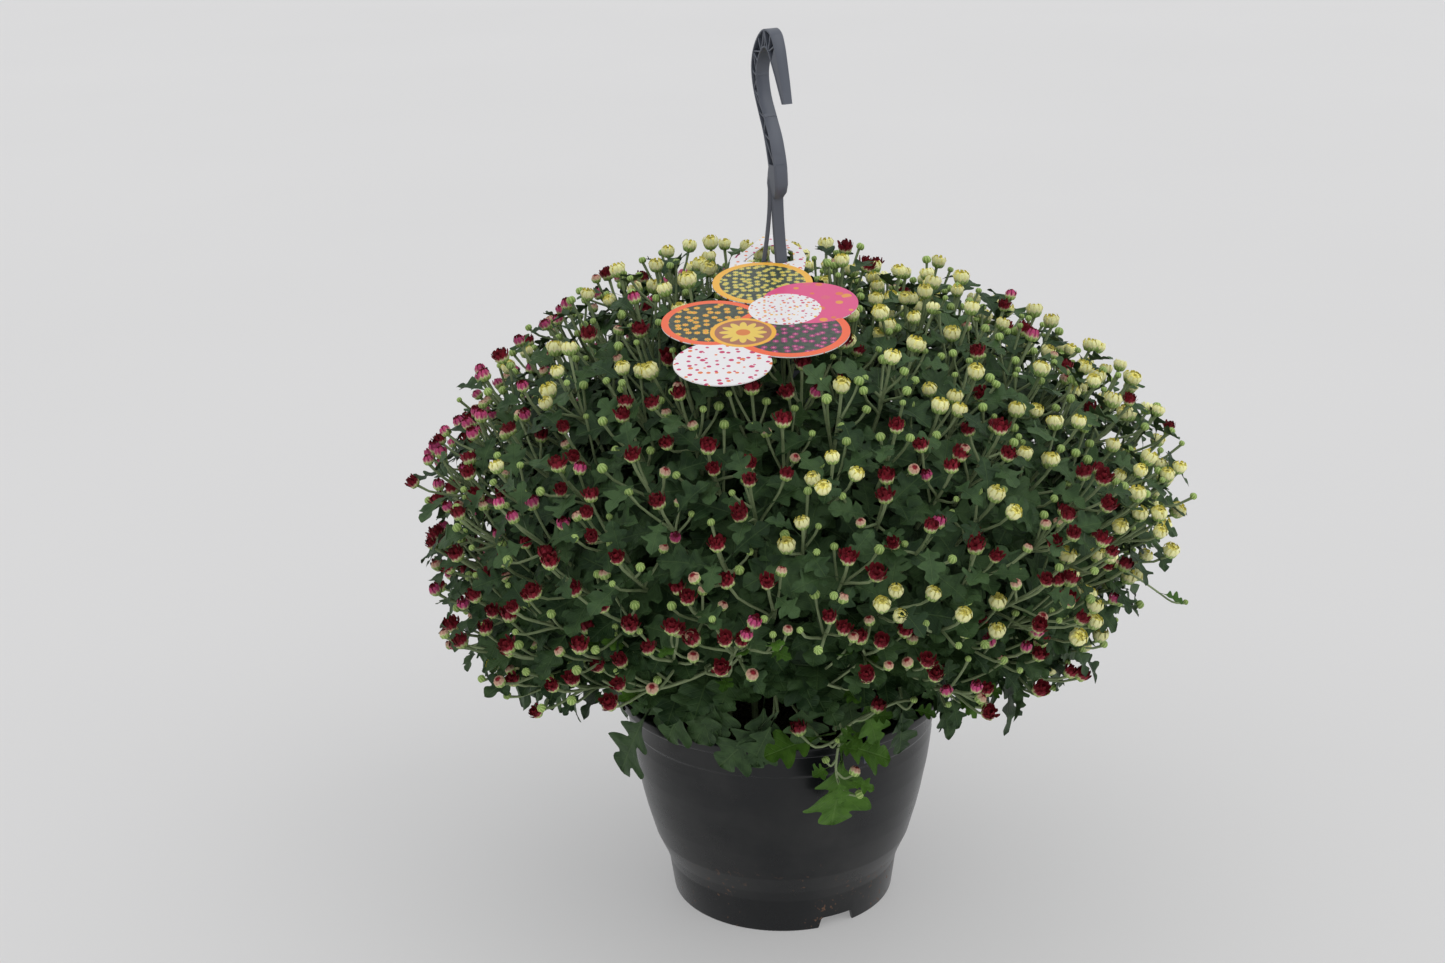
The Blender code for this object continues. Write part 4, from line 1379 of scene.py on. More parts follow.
def scatter(name: str, table: PointTable, shapes: list[Piece], surfaces: list[Surface], primary: str
            ) -> Piece:
    """Set shapes on a table of points, and return them as one plain mesh.

    Args:
        name: The piece's name.
        table: The points.
        shapes: The shapes, which the points' number "shape" picks from. They are left as they are.
        surfaces: The materials.
        primary: The shape's axis that follows "lie" exactly.

    Returns:
        The piece.
    """
    group = bpy.data.collections.new("shapes")
    bpy.context.scene.collection.children.link(group)
    for shape in shapes:
        group.objects.link(shape)
    item = table.cloud(name)
    modifier = item.modifiers.new("scatter", "NODES")
    modifier.node_group = scatter_tree(surfaces, primary)
    set_input(modifier, "Shapes", group)
    set_input(modifier, "Size", 1.0)
    harden(item)
    bpy.data.collections.remove(group)
    return item


def strand_tree(surface: Surface) -> Tree:
    """Build the tree that gives lines a round section as thick as their girth."""
    web, given = open_group("strands", {"Geometry": "Lines", "Int": "Sides"}, {"Geometry": "Stalks"},
                            "GeometryNodeTree")
    lines = web.add("GeometryNodeMeshToCurve", {"Mesh": given["Lines"]})
    ring = web.add("GeometryNodeCurvePrimitiveCircle", {"Resolution": given["Sides"], "Radius": 1.0})
    skin = web.add("GeometryNodeCurveToMesh",
                   {"Curve": lines[0], "Profile Curve": ring[0],
                    "Scale": named(web, "girth", "FLOAT"), "Fill Caps": True})
    smooth = web.add("GeometryNodeSetShadeSmooth", {"Geometry": skin[0]})
    real = web.add("GeometryNodeRealizeInstances", {"Geometry": smooth[0]})
    result = web.add("GeometryNodeSetMaterial", {"Geometry": real[0], "Material": surface})
    web.finish({"Stalks": result[0]})
    return web.tree


def spin_strands(name: str, table: StrandTable, surface: Surface, sides: int) -> Piece:
    """Return a table of stalks as one plain mesh.

    Args:
        name: The piece's name.
        table: The stalks.
        surface: Their material.
        sides: Sides of each stalk.

    Returns:
        The piece.
    """
    item = table.lines(name)
    modifier = item.modifiers.new("strands", "NODES")
    modifier.node_group = strand_tree(surface)
    set_input(modifier, "Sides", sides)
    harden(item)
    return item


# Leaf and bud shapes

LEAF_HALF = (
    (0.00, 0.018), (0.10, 0.045), (0.16, 0.095), (0.20, 0.165), (0.25, 0.235), (0.310, 0.283),
    (0.362, 0.275), (0.383, 0.190), (0.398, 0.118), (0.436, 0.122), (0.478, 0.215), (0.530, 0.305),
    (0.595, 0.362), (0.660, 0.392), (0.708, 0.375), (0.722, 0.280), (0.728, 0.180), (0.762, 0.152),
    (0.818, 0.198), (0.880, 0.192), (0.932, 0.135), (0.980, 0.055), (1.00, 0.000),
)
LEAF_RIB = (0.0, 0.20, 0.40, 0.55, 0.70, 0.86, 1.0)
LEAF_STALK = 0.26
LEAF_BENDS = ((0.22, 0.24, 0.16), (0.45, 0.36, 0.12), (0.12, 0.46, 0.22), (0.34, 0.12, 0.18))
FINE_BENDS = ((0.14, 0.09, 0.11), (0.19, 0.13, 0.13))


def leaf_edge(fine: bool) -> Profile:
    """Return half a leaf's outline, drawn more closely for a fine one."""
    if not fine:
        return list(LEAF_HALF)
    return [(point.x, point.y) for point in smooth_curve([Vector((x, y, 0.0)) for x, y in LEAF_HALF], 2)]


def leaf_shape(number: int, fold: float, droop: float, ripple: float, fine: bool = False) -> Piece:
    """Return a lobed leaf of unit length, its blade along +X and its stalk's foot at the origin.

    Args:
        number: The shape's number, which also seeds its unevenness.
        fold: How steeply its halves rise from the midrib.
        droop: How far its tip hangs.
        ripple: How far its lobes wave.
        fine: Whether its edge is drawn closely, for a leaf that is seen from near by.

    Returns:
        The leaf, with a UV map: along it, and across from its middle.
    """
    draw = random.Random(100 + number)
    blade = 1.0 - LEAF_STALK
    edge = leaf_edge(fine)
    uneven = 0.004 if fine else 0.014
    flat = [(x, 0.0, 0.0) for x in LEAF_RIB]
    faces = []
    rib = len(LEAF_RIB)
    nearest = [min(range(rib), key=lambda k: abs(LEAF_RIB[k] - x)) for x, _ in edge]
    for side in (1.0, -1.0):
        start = len(flat)
        lobe = draw.uniform(0.92, 1.08)
        for k, (x, y) in enumerate(edge[:-1]):
            flat.append((x + draw.uniform(-uneven, uneven), side * y * lobe,
                         ripple * math.sin(x * 19.0 + side + number) * y))
        for k in range(len(edge) - 1):
            here, there = nearest[k], nearest[k + 1]
            a = start + k
            b = start + k + 1 if k < len(edge) - 2 else rib - 1
            face = [here, a, b] if here == there or b == there else [here, a, b, there]
            faces.append(tuple(face if side < 0 else reversed(face)))
    vertices = []
    coordinates = []
    for x, y, wave in flat:
        lift = abs(y) * fold + wave - droop * x * x
        vertices.append(Vector((LEAF_STALK + x * blade, y * blade, (lift + 0.04 * x) * blade)))
        coordinates.append((x, 0.5 + y))
    foot = len(vertices)
    for side in (-1.0, 1.0):
        vertices.append(Vector((0.0, side * 0.016, -0.05)))
        coordinates.append((-0.1, 0.5))
    faces.append((foot, foot + 1, rib, 0))
    faces.append((foot, 0, rib + len(edge) - 1))
    item = add_object(f"leaf_{number}", vertices, faces)
    map_points(item, coordinates)
    return item


def map_points(item: Piece, coordinates: list[Pair]) -> None:
    """Give an object a UV map from one pair for each point."""
    layer = item.data.uv_layers.new(name="UVMap")
    for loop in item.data.loops:
        layer.data[loop.index].uv = coordinates[loop.vertex_index]


class Kind(IntEnum):
    """How far a bud has opened, and in which colour."""

    GREEN = 0
    BLUSH = 1
    CREAM = 2
    CRIMSON = 3
    OPENING = 4


@dataclass(frozen=True)
class PetalRing:
    """A ring of petals. Each place on a petal is a radius, a height and a band of the bud's colours."""

    count: int
    foot: Spot
    belly: Spot
    tip: Spot
    width: float


@dataclass(frozen=True)
class BudForm:
    """A bud's turned body, as rows of radius, height and colour band, and the petals round its top."""

    kind: Kind
    columns: int
    rows: tuple[Spot, ...]
    petals: tuple[PetalRing, ...]
    uneven: float

    def body(self, draw: random.Random) -> tuple[list, list, list]:
        """Return the turned body's points, faces and the UV place of each face's corners."""
        count = self.columns
        vertices = [Vector((0.0, 0.0, 0.0))]
        for radius, z, _ in self.rows:
            for k in range(count):
                reach = radius / 2 * (1.0 + draw.uniform(-self.uneven, self.uneven))
                vertices.append(polar(reach, 360.0 * k / count, z / 2))
        vertices.append(Vector((0.0, 0.0, self.rows[-1][1] / 2 - 0.03)))
        crown = len(vertices) - 1
        faces = [(0, 1 + (k + 1) % count, 1 + k) for k in range(count)]
        spots = [[(k + 0.5, 0.0), (k + 1.0, 0.0), (k, 0.0)] for k in range(count)]
        for row in range(len(self.rows) - 1):
            low = 1 + row * count
            v, w = self.rows[row][2], self.rows[row + 1][2]
            for k in range(count):
                after = (k + 1) % count
                faces.append((low + k, low + after, low + count + after, low + count + k))
                spots.append([(k, v), (k + 1, v), (k + 1, w), (k, w)])
        last = crown - count
        v = self.rows[-1][2]
        for k in range(count):
            faces.append((last + k, last + (k + 1) % count, crown))
            spots.append([(k, v), (k + 1, v), (k + 0.5, v + 0.06)])
        return vertices, faces, [[(u / count, v) for u, v in corners] for corners in spots]

    def shape(self, number: int) -> Piece:
        """Return a bud a unit wide along +Z, its foot at the origin.

        Args:
            number: The shape's number, which also seeds its unevenness.

        Returns:
            The bud, with a UV map: round it, and from its foot to its crown.
        """
        draw = random.Random(200 + number)
        vertices, faces, spots = self.body(draw)
        for level, ring in enumerate(self.petals):
            for k in range(ring.count):
                turn = 360.0 * (k + 0.5 * (level % 2)) / ring.count + draw.uniform(-7.0, 7.0)
                side = polar(ring.width / 4 * draw.uniform(0.85, 1.15), turn + 90.0)
                swing = draw.uniform(-self.uneven, self.uneven)
                start = len(vertices)
                foot = polar(ring.foot[0] / 2, turn, ring.foot[1] / 2)
                belly = polar(ring.belly[0] / 2 * (1.0 + swing), turn, ring.belly[1] / 2)
                tip = polar(ring.tip[0] / 2 * (1.0 + 2.0 * swing), turn + draw.uniform(-9.0, 9.0),
                            ring.tip[1] / 2 * (1.0 + draw.uniform(-0.5, 0.5) * self.uneven))
                vertices += [foot - side * 0.7, foot + side * 0.7, belly + side, belly - side,
                             tip + side * 0.55, tip - side * 0.45]
                left, right = (turn / 360.0 + half / ring.count for half in (-0.5, 0.5))
                for corners, low, high in (((0, 1, 2, 3), ring.foot, ring.belly),
                                           ((3, 2, 4, 5), ring.belly, ring.tip)):
                    faces.append(tuple(start + corner for corner in corners))
                    spots.append([(left, low[2]), (right, low[2]), (right, high[2]), (left, high[2])])
        item = add_object(f"bud_{number}", vertices, faces)
        layer = item.data.uv_layers.new(name="UVMap")
        for polygon, corners in zip(item.data.polygons, spots):
            for loop, corner in zip(polygon.loop_indices, corners):
                layer.data[loop].uv = corner
        return item


BUD_FORMS = (
    BudForm(Kind.GREEN, 8, (
        (0.30, 0.02, 0.00), (0.82, 0.22, 0.10), (1.00, 0.74, 0.20), (0.90, 1.22, 0.28),
        (0.55, 1.55, 0.33), (0.20, 1.56, 0.35),
    ), (), 0.04),
    BudForm(Kind.BLUSH, 8, (
        (0.28, 0.02, 0.00), (0.80, 0.20, 0.12), (1.00, 0.70, 0.28), (0.96, 1.14, 0.50),
        (0.66, 1.46, 0.68), (0.30, 1.50, 0.90),
    ), (
        PetalRing(7, (0.86, 1.22, 0.52), (0.70, 1.50, 0.66), (0.36, 1.70, 0.84), 0.56),
    ), 0.05),
    BudForm(Kind.CREAM, 9, (
        (0.26, 0.02, 0.00), (0.74, 0.20, 0.12), (0.98, 0.62, 0.30), (1.02, 1.00, 0.46),
        (0.84, 1.30, 0.60), (0.40, 1.30, 0.92),
    ), (
        PetalRing(9, (0.98, 0.92, 0.48), (1.04, 1.34, 0.62), (0.76, 1.82, 0.78), 0.66),
        PetalRing(7, (0.74, 1.20, 0.60), (0.68, 1.56, 0.76), (0.30, 1.66, 0.90), 0.52),
    ), 0.06),
    BudForm(Kind.CRIMSON, 9, (
        (0.26, 0.02, 0.00), (0.70, 0.18, 0.12), (0.90, 0.56, 0.28), (0.88, 0.94, 0.46),
        (0.50, 1.10, 0.80),
    ), (
        PetalRing(9, (0.82, 0.74, 0.42), (1.02, 1.16, 0.60), (1.12, 1.58, 0.76), 0.60),
        PetalRing(8, (0.60, 0.90, 0.60), (0.84, 1.40, 0.88), (0.84, 1.84, 1.00), 0.56),
        PetalRing(6, (0.26, 0.96, 0.85), (0.48, 1.56, 0.95), (0.26, 1.88, 1.00), 0.50),
    ), 0.13),
    BudForm(Kind.OPENING, 8, (
        (0.28, 0.02, 0.00), (0.78, 0.20, 0.12), (0.98, 0.64, 0.26), (0.94, 1.02, 0.42),
        (0.50, 1.24, 0.80),
    ), (
        PetalRing(8, (0.90, 0.84, 0.40), (0.96, 1.34, 0.52), (0.72, 1.90, 0.74), 0.66),
        PetalRing(6, (0.56, 1.10, 0.56), (0.58, 1.56, 0.74), (0.36, 2.02, 0.90), 0.52),
    ), 0.12),
)
FORMS_EACH = 2


# Plants

def bell(value: float, middle: float, width: float) -> float:
    """Return a bell curve's height, 1 at its middle."""
    return math.exp(-((value - middle) / width) ** 2)


def held(share: float) -> float:
    """Hold a number between 0 and 1."""
    return max(0.0, min(1.0, share))


def turn_between(a: float, b: float) -> float:
    """Return the angle between two azimuths in degrees."""
    return abs((a - b + 180.0) % 360.0 - 180.0)


def bearing(place: Vector) -> float:
    """Return a place's azimuth about the pot's axis in degrees."""
    return math.degrees(math.atan2(place.y, place.x - POT_X))


def pot_distance(place: Vector) -> float:
    """Return a place's distance from the pot's axis."""
    return math.hypot(place.x - POT_X, place.y)


def plant_of(place: Vector) -> str:
    """Return the name of the plant whose wedge holds a place."""
    return min(PLANTS, key=lambda plant: turn_between(bearing(place), plant[1]))[0]


def round_about(axis: Vector, turn: float) -> Vector:
    """Return the direction square to an axis, at an angle round it."""
    first = axis.orthogonal().normalized()
    return first * math.cos(turn) + axis.cross(first) * math.sin(turn)


def walk_back(route: list[Vector], distance: float) -> Vector:
    """Return the point of a route at a distance back from its end."""
    for a, b in zip(reversed(route[1:]), reversed(route[:-1])):
        span = (a - b).length
        if distance <= span:
            return a.lerp(b, distance / span)
        distance -= span
    return route[0]


@dataclass(frozen=True)
class Dome:
    """The plants' shared outline, turned about the origin and then shaped on its left and right.

    A pair is either the size on the left and on the right, or a band's middle and width: how far out it
    lies for the crown and the shoulder, and how high for the others.
    """

    outline: tuple[Pair, ...] = (
        (0.000, 0.545), (0.100, 0.536), (0.190, 0.505), (0.255, 0.452),
        (0.294, 0.385), (0.302, 0.320), (0.284, 0.255), (0.225, 0.205),
    )
    lean: float = 0.009
    crown_band: Pair = (0.12, 0.07)
    shoulder_drop: Pair = (0.003, 0.015)
    shoulder_band: Pair = (0.22, 0.055)
    belly: Pair = (0.012, 0.009)
    belly_band: Pair = (0.405, 0.055)
    flank: float = 0.009
    flank_swing: float = 0.019
    flank_band: Pair = (0.27, 0.065)
    tuck: Pair = (0.012, 0.030)
    tuck_band: Pair = (0.215, 0.045)
    right_turn: float = 0.35

    def at(self, share: float, angle: float) -> tuple[Vector, Vector]:
        """Return a point of the dome and its outward direction.

        Args:
            share: Share of the dome's area from its top, 0 to 1.
            angle: Azimuth in radians.

        Returns:
            The point and the direction.
        """
        curve = smooth_curve([Vector((r, z, 0.0)) for r, z in self.outline], 8)
        areas = [0.0]
        for a, b in zip(curve, curve[1:]):
            areas.append(areas[-1] + (b - a).length * (a.x + b.x) / 2)
        target = share * areas[-1]
        k = next(k for k in range(len(curve) - 1) if areas[k + 1] >= target - 1e-12)
        point = curve[k].lerp(curve[k + 1], (target - areas[k]) / (areas[k + 1] - areas[k]))
        along = (curve[k + 1] - curve[k]).normalized()
        east = math.cos(angle)
        left, right = max(0.0, -east), max(0.0, math.cos(angle - self.right_turn))
        shoulder, belly, tuck = (sizes[0] * left + sizes[1] * right
                                 for sizes in (self.shoulder_drop, self.belly, self.tuck))
        drop = self.lean * east * bell(point.x, *self.crown_band)
        drop += shoulder * bell(point.x, *self.shoulder_band)
        pull = (self.flank + self.flank_swing * east) * bell(point.y, *self.flank_band)
        pull -= belly * bell(point.y, *self.belly_band)
        pull += tuck * bell(point.y, *self.tuck_band)
        flat = Vector((east, math.sin(angle), 0.0))
        place = flat * (point.x - pull) + UP * (point.y - drop)
        return place, (flat * -along.y + UP * along.x).normalized()


class Neighbours:
    """What leaves, buds and stalks keep clear of: the tag, the straps and the pot."""

    def __init__(self) -> None:
        """Work out the straps' routes and the tag's discs."""
        self.straps = [smooth_curve([POT_AXIS + polar(r, azimuth, z) for r, z in STRAP_ROUTE], 3)
                       for azimuth in LEG_AZIMUTHS]
        self.discs = [(disc.x, disc.y, disc.radius) for disc in printed_discs()] + [LOOP_CLEARANCE]

    def over_tag(self, point: Vector, margin: float) -> float:
        """Return how far a point stands above the tag's underside, less a margin, or a negative number."""
        tilt = math.radians(TAG_TILT)
        x = point.x - POT_X
        y = point.y / math.cos(tilt)
        for disc_x, disc_y, radius in self.discs:
            if math.hypot(x - disc_x, y - disc_y) < radius + margin:
                return point.z + margin - (TAG_Z + math.tan(tilt) * point.y)
        return -1.0

    def strap_distance(self, point: Vector) -> float:
        """Return the distance from a point to the nearest strap's middle line."""
        best = 1.0
        for route in self.straps:
            for a, b in zip(route, route[1:]):
                along = b - a
                part = held((point - a).dot(along) / along.length_squared)
                best = min(best, (point - a - along * part).length)
        return best

    def clear(self, points: list[Vector], margin: float) -> bool:
        """Say whether every point is clear of the tag, the straps and the pot by a margin."""
        for point in points:
            if pot_distance(point) < LIP_RADIUS + margin and point.z < POT_HEIGHT + margin * 0.5:
                return False
            if self.over_tag(point, margin) > 0.0 or self.strap_distance(point) < STRAP_CLEARANCE + margin:
                return False
        return True


@dataclass(frozen=True)
class OpenFront:
    """The open space under the front of the dome, where only shaded leaves hang far back."""

    azimuth: float = -92.0
    half_width: float = 60.0
    top: float = 0.345
    bottom: float = 0.243
    reach_low: float = 0.176
    low_z: float = 0.25
    slope: float = 1.26
    widest: float = 0.268
    side_start: float = 36.0
    side_growth: float = 0.005

    def reach(self, angle: float, z: float) -> float:
        """Return how far out leaves come there, by azimuth and height."""
        aside = max(0.0, turn_between(angle, self.azimuth) - self.side_start)
        return min(self.reach_low + (z - self.low_z) * self.slope + self.side_growth * aside, self.widest)

    def holds(self, point: Vector) -> bool:
        """Say whether a point lies in the open space."""
        angle = bearing(point)
        if point.z > self.top or turn_between(angle, self.azimuth) > self.half_width:
            return False
        return point.z < self.bottom or pot_distance(point) > self.reach(angle, point.z)


@dataclass(frozen=True)
class Palette:
    """Where buds are cream, magenta and crimson, by azimuth in degrees, height and distance out."""

    cream_azimuth: float = 14.0
    cream_width: float = 72.0
    cream_growth: float = 32.0
    cream_fade: float = 42.0
    growth_z: Pair = (0.27, 0.20)
    middle_reach: Pair = (0.21, 0.08)
    cream_most: float = 0.84
    cream_middle: float = 0.56
    cream_least: float = 0.08
    magenta_azimuth: float = 132.0
    magenta_width: float = 72.0
    crimson_there: float = 0.14
    crimson_elsewhere: float = 0.94

    def cream_share(self, place: Vector) -> float:
        """Return how likely a shoot is cream at a place: most to the right, more so high up."""
        spread = turn_between(bearing(place), self.cream_azimuth)
        height = held((place.z - self.growth_z[0]) / self.growth_z[1])
        near = held((self.cream_width + self.cream_growth * height - spread) / self.cream_fade)
        middle = held((self.middle_reach[0] - pot_distance(place)) / self.middle_reach[1])
        return max(self.cream_most * near, self.cream_middle * middle, self.cream_least)

    def main_kind(self, draw: random.Random, place: Vector) -> Kind:
        """Draw the colour that a shoot opens in at a place."""
        magenta = turn_between(bearing(place), self.magenta_azimuth) < self.magenta_width
        crimson = draw.random() < (self.crimson_there if magenta else self.crimson_elsewhere)
        red = Kind.CRIMSON if crimson else Kind.OPENING
        return Kind.CREAM if draw.random() < self.cream_share(place) else red

    def side_kind(self, draw: random.Random, main: Kind, high: bool) -> Kind:
        """Draw how far a side bud has opened on a shoot of one colour: less far high up."""
        kinds = {Kind.CREAM: ((0.42, Kind.CREAM),),
                 Kind.OPENING: ((0.05, Kind.CRIMSON), (0.46, Kind.OPENING), (0.60, Kind.BLUSH)),
                 Kind.CRIMSON: ((0.36, Kind.CRIMSON), (0.39, Kind.OPENING), (0.58, Kind.BLUSH))}[main]
        lot = draw.random() * (1.35 if high else 1.0)
        return next((kind for limit, kind in kinds if lot < limit), Kind.GREEN)


BUD_WIDTHS = {Kind.GREEN: (0.0046, 0.0078), Kind.BLUSH: (0.0074, 0.0096), Kind.CREAM: (0.0096, 0.0132),
              Kind.CRIMSON: (0.0094, 0.0130), Kind.OPENING: (0.0084, 0.0112)}


@dataclass(frozen=True)
class LowLeaf:
    """A leaf that hangs over the pot, by azimuth, radius and height of its foot and tip."""

    foot: Spot
    tip: Spot
    young: bool = False
    upward: float = 0.35


@dataclass(frozen=True)
class Spray:
    """A stalk laid along a given route, by azimuth, radius and height, with the bud at its end."""

    route: tuple[Spot, ...]
    kind: Kind
    girth: float = 0.0011


LOW_LEAVES = (
    LowLeaf((-132.0, 0.153, 0.213), (-143.5, 0.160, 0.150)),
    LowLeaf((-116.0, 0.150, 0.240), (-127.5, 0.149, 0.186)),
    LowLeaf((-109.0, 0.146, 0.238), (-117.0, 0.148, 0.190)),
    LowLeaf((-94.0, 0.151, 0.218), (-109.0, 0.149, 0.174)),
    LowLeaf((-92.0, 0.158, 0.222), (-99.0, 0.153, 0.178)),
    LowLeaf((-73.6, 0.166, 0.202), (-74.6, 0.152, 0.126), True, 0.10),
    LowLeaf((-78.0, 0.162, 0.210), (-94.5, 0.170, 0.198), True, 1.7),
    LowLeaf((-76.5, 0.162, 0.203), (-60.0, 0.170, 0.184), True, 1.2),
    LowLeaf((-54.0, 0.158, 0.218), (-52.0, 0.151, 0.172)),
    LowLeaf((-45.0, 0.165, 0.232), (-37.0, 0.171, 0.188)),
    LowLeaf((-67.0, 0.160, 0.236), (-64.0, 0.168, 0.196), True),
    LowLeaf((-84.0, 0.160, 0.236), (-86.0, 0.167, 0.202)),
)
SPRAYS = (
    Spray(((-44.0, 0.120, 0.232), (-50.0, 0.160, 0.224), (-58.0, 0.166, 0.228), (-67.0, 0.166, 0.223),
           (-72.1, 0.166, 0.217), (-75.7, 0.166, 0.206), (-81.1, 0.166, 0.202), (-85.1, 0.167, 0.214)),
          Kind.CRIMSON, 0.0014),
    Spray(((-70.0, 0.166, 0.220), (-68.0, 0.170, 0.222), (-66.0, 0.175, 0.229)), Kind.CRIMSON),
    Spray(((-58.0, 0.166, 0.228), (-55.5, 0.169, 0.221), (-53.5, 0.170, 0.226)), Kind.GREEN),
    Spray(((-77.5, 0.166, 0.204), (-76.8, 0.169, 0.202), (-75.6, 0.171, 0.207)), Kind.GREEN),
    Spray(((-73.5, 0.164, 0.212), (-75.2, 0.166, 0.196), (-75.6, 0.167, 0.178), (-73.6, 0.167, 0.162),
           (-70.0, 0.167, 0.157)), Kind.GREEN),
    Spray(((-75.6, 0.167, 0.180), (-73.5, 0.168, 0.174), (-71.4, 0.170, 0.177)), Kind.BLUSH),
    Spray(((-75.4, 0.166, 0.190), (-77.2, 0.168, 0.186), (-78.4, 0.170, 0.191)), Kind.GREEN),
    Spray(((-98.0, 0.130, 0.285), (-104.0, 0.192, 0.282), (-110.0, 0.208, 0.273), (-118.0, 0.210, 0.262),
           (-125.0, 0.215, 0.262), (-129.0, 0.218, 0.268), (-132.0, 0.219, 0.274)), Kind.OPENING, 0.0016),
    Spray(((-116.0, 0.208, 0.263), (-121.0, 0.218, 0.282), (-125.0, 0.229, 0.299), (-126.0, 0.234, 0.310)),
          Kind.CRIMSON),
    Spray(((-113.0, 0.206, 0.268), (-117.0, 0.220, 0.290), (-119.0, 0.230, 0.306), (-120.0, 0.234, 0.313)),
          Kind.GREEN),
    Spray(((-104.0, 0.192, 0.282), (-107.0, 0.238, 0.307), (-107.0, 0.258, 0.325), (-106.0, 0.270, 0.339)),
          Kind.CRIMSON),
    Spray(((-92.0, 0.130, 0.290), (-105.0, 0.208, 0.287), (-100.0, 0.215, 0.285), (-98.0, 0.246, 0.313),
           (-96.0, 0.264, 0.331)), Kind.CRIMSON, 0.0014),
    Spray(((-99.0, 0.228, 0.297), (-96.0, 0.252, 0.320), (-95.0, 0.270, 0.338)), Kind.OPENING),
    Spray(((-97.0, 0.260, 0.326), (-94.0, 0.257, 0.324), (-92.0, 0.254, 0.321), (-90.0, 0.260, 0.327),
           (-89.0, 0.280, 0.347)), Kind.BLUSH),
    Spray(((-92.0, 0.254, 0.321), (-91.0, 0.264, 0.333), (-91.0, 0.278, 0.344)), Kind.GREEN),
    Spray(((-92.0, 0.130, 0.285), (-88.0, 0.202, 0.287), (-83.0, 0.206, 0.278), (-77.0, 0.192, 0.263),
           (-71.0, 0.192, 0.258), (-69.0, 0.202, 0.268), (-68.0, 0.211, 0.281)), Kind.CRIMSON, 0.0016),
    Spray(((-79.0, 0.198, 0.269), (-75.0, 0.218, 0.293), (-72.0, 0.230, 0.310)), Kind.CRIMSON),
    Spray(((-83.0, 0.206, 0.278), (-80.0, 0.244, 0.312), (-79.0, 0.264, 0.332)), Kind.BLUSH),
    Spray(((-66.0, 0.130, 0.300), (-60.0, 0.220, 0.301), (-54.0, 0.212, 0.284), (-48.0, 0.212, 0.273),
           (-44.0, 0.216, 0.273), (-42.0, 0.218, 0.279)), Kind.CRIMSON, 0.0014),
    Spray(((-54.0, 0.212, 0.284), (-52.0, 0.222, 0.299), (-51.0, 0.228, 0.308)), Kind.CRIMSON),
    Spray(((-56.0, 0.150, 0.262), (-51.0, 0.190, 0.246), (-49.0, 0.197, 0.236), (-46.0, 0.204, 0.227),
           (-42.0, 0.206, 0.221)), Kind.BLUSH, 0.0013),
    Spray(((-48.0, 0.200, 0.232), (-44.0, 0.204, 0.233), (-40.0, 0.206, 0.236)), Kind.GREEN),
    Spray(((-24.0, 0.262, 0.335), (-20.0, 0.288, 0.312), (-17.0, 0.302, 0.296), (-15.0, 0.313, 0.284),
           (-13.0, 0.322, 0.279)), Kind.GREEN, 0.0009),
)
WOODY_STEM = Girth(0.0033, 0.0030)
SHOOT = Girth(0.0023, 0.0015)
LEAF_STEM = Girth(0.0018, 0.0010)
MIDDLE_STALK = Girth(0.00145, 0.00105, 1.35)
SIDE_STALK = Girth(0.0012, 0.00090, 1.4)
BARE_TIP = Girth(0.0013, 0.0008)
STALK_SKIN = StalkSkin("stalk_skin", (0.145, 0.195, 0.085), (0.265, 0.330, 0.165))
LEAF_SKINS = (
    LeafSkin("leaf_skin", (0.016, 0.041, 0.013), (0.053, 0.105, 0.034),
             (0.095, 0.160, 0.055), (0.080, 0.128, 0.058)),
    LeafSkin("young_leaf_skin", (0.045, 0.115, 0.012), (0.080, 0.185, 0.020),
             (0.120, 0.220, 0.050), (0.100, 0.170, 0.055)),
)
BUD_SKINS = (
    BudSkin("bud_green", 8.0, 0.60, (0.46, 0.56, 0.20), (0.30, 0.42, 0.10)),
    BudSkin("bud_blush", 8.0, 0.40, (0.56, 0.320, 0.230), (0.24, 0.016, 0.024)),
    BudSkin("bud_cream", 9.0, 0.36, (0.93, 0.92, 0.45), (0.86, 0.78, 0.20)),
    BudSkin("bud_crimson", 9.0, 0.31, (0.230, 0.011, 0.026), (0.150, 0.0070, 0.0130)),
    BudSkin("bud_opening", 8.0, 0.31, (0.52, 0.065, 0.185), (0.180, 0.0100, 0.0240)),
)


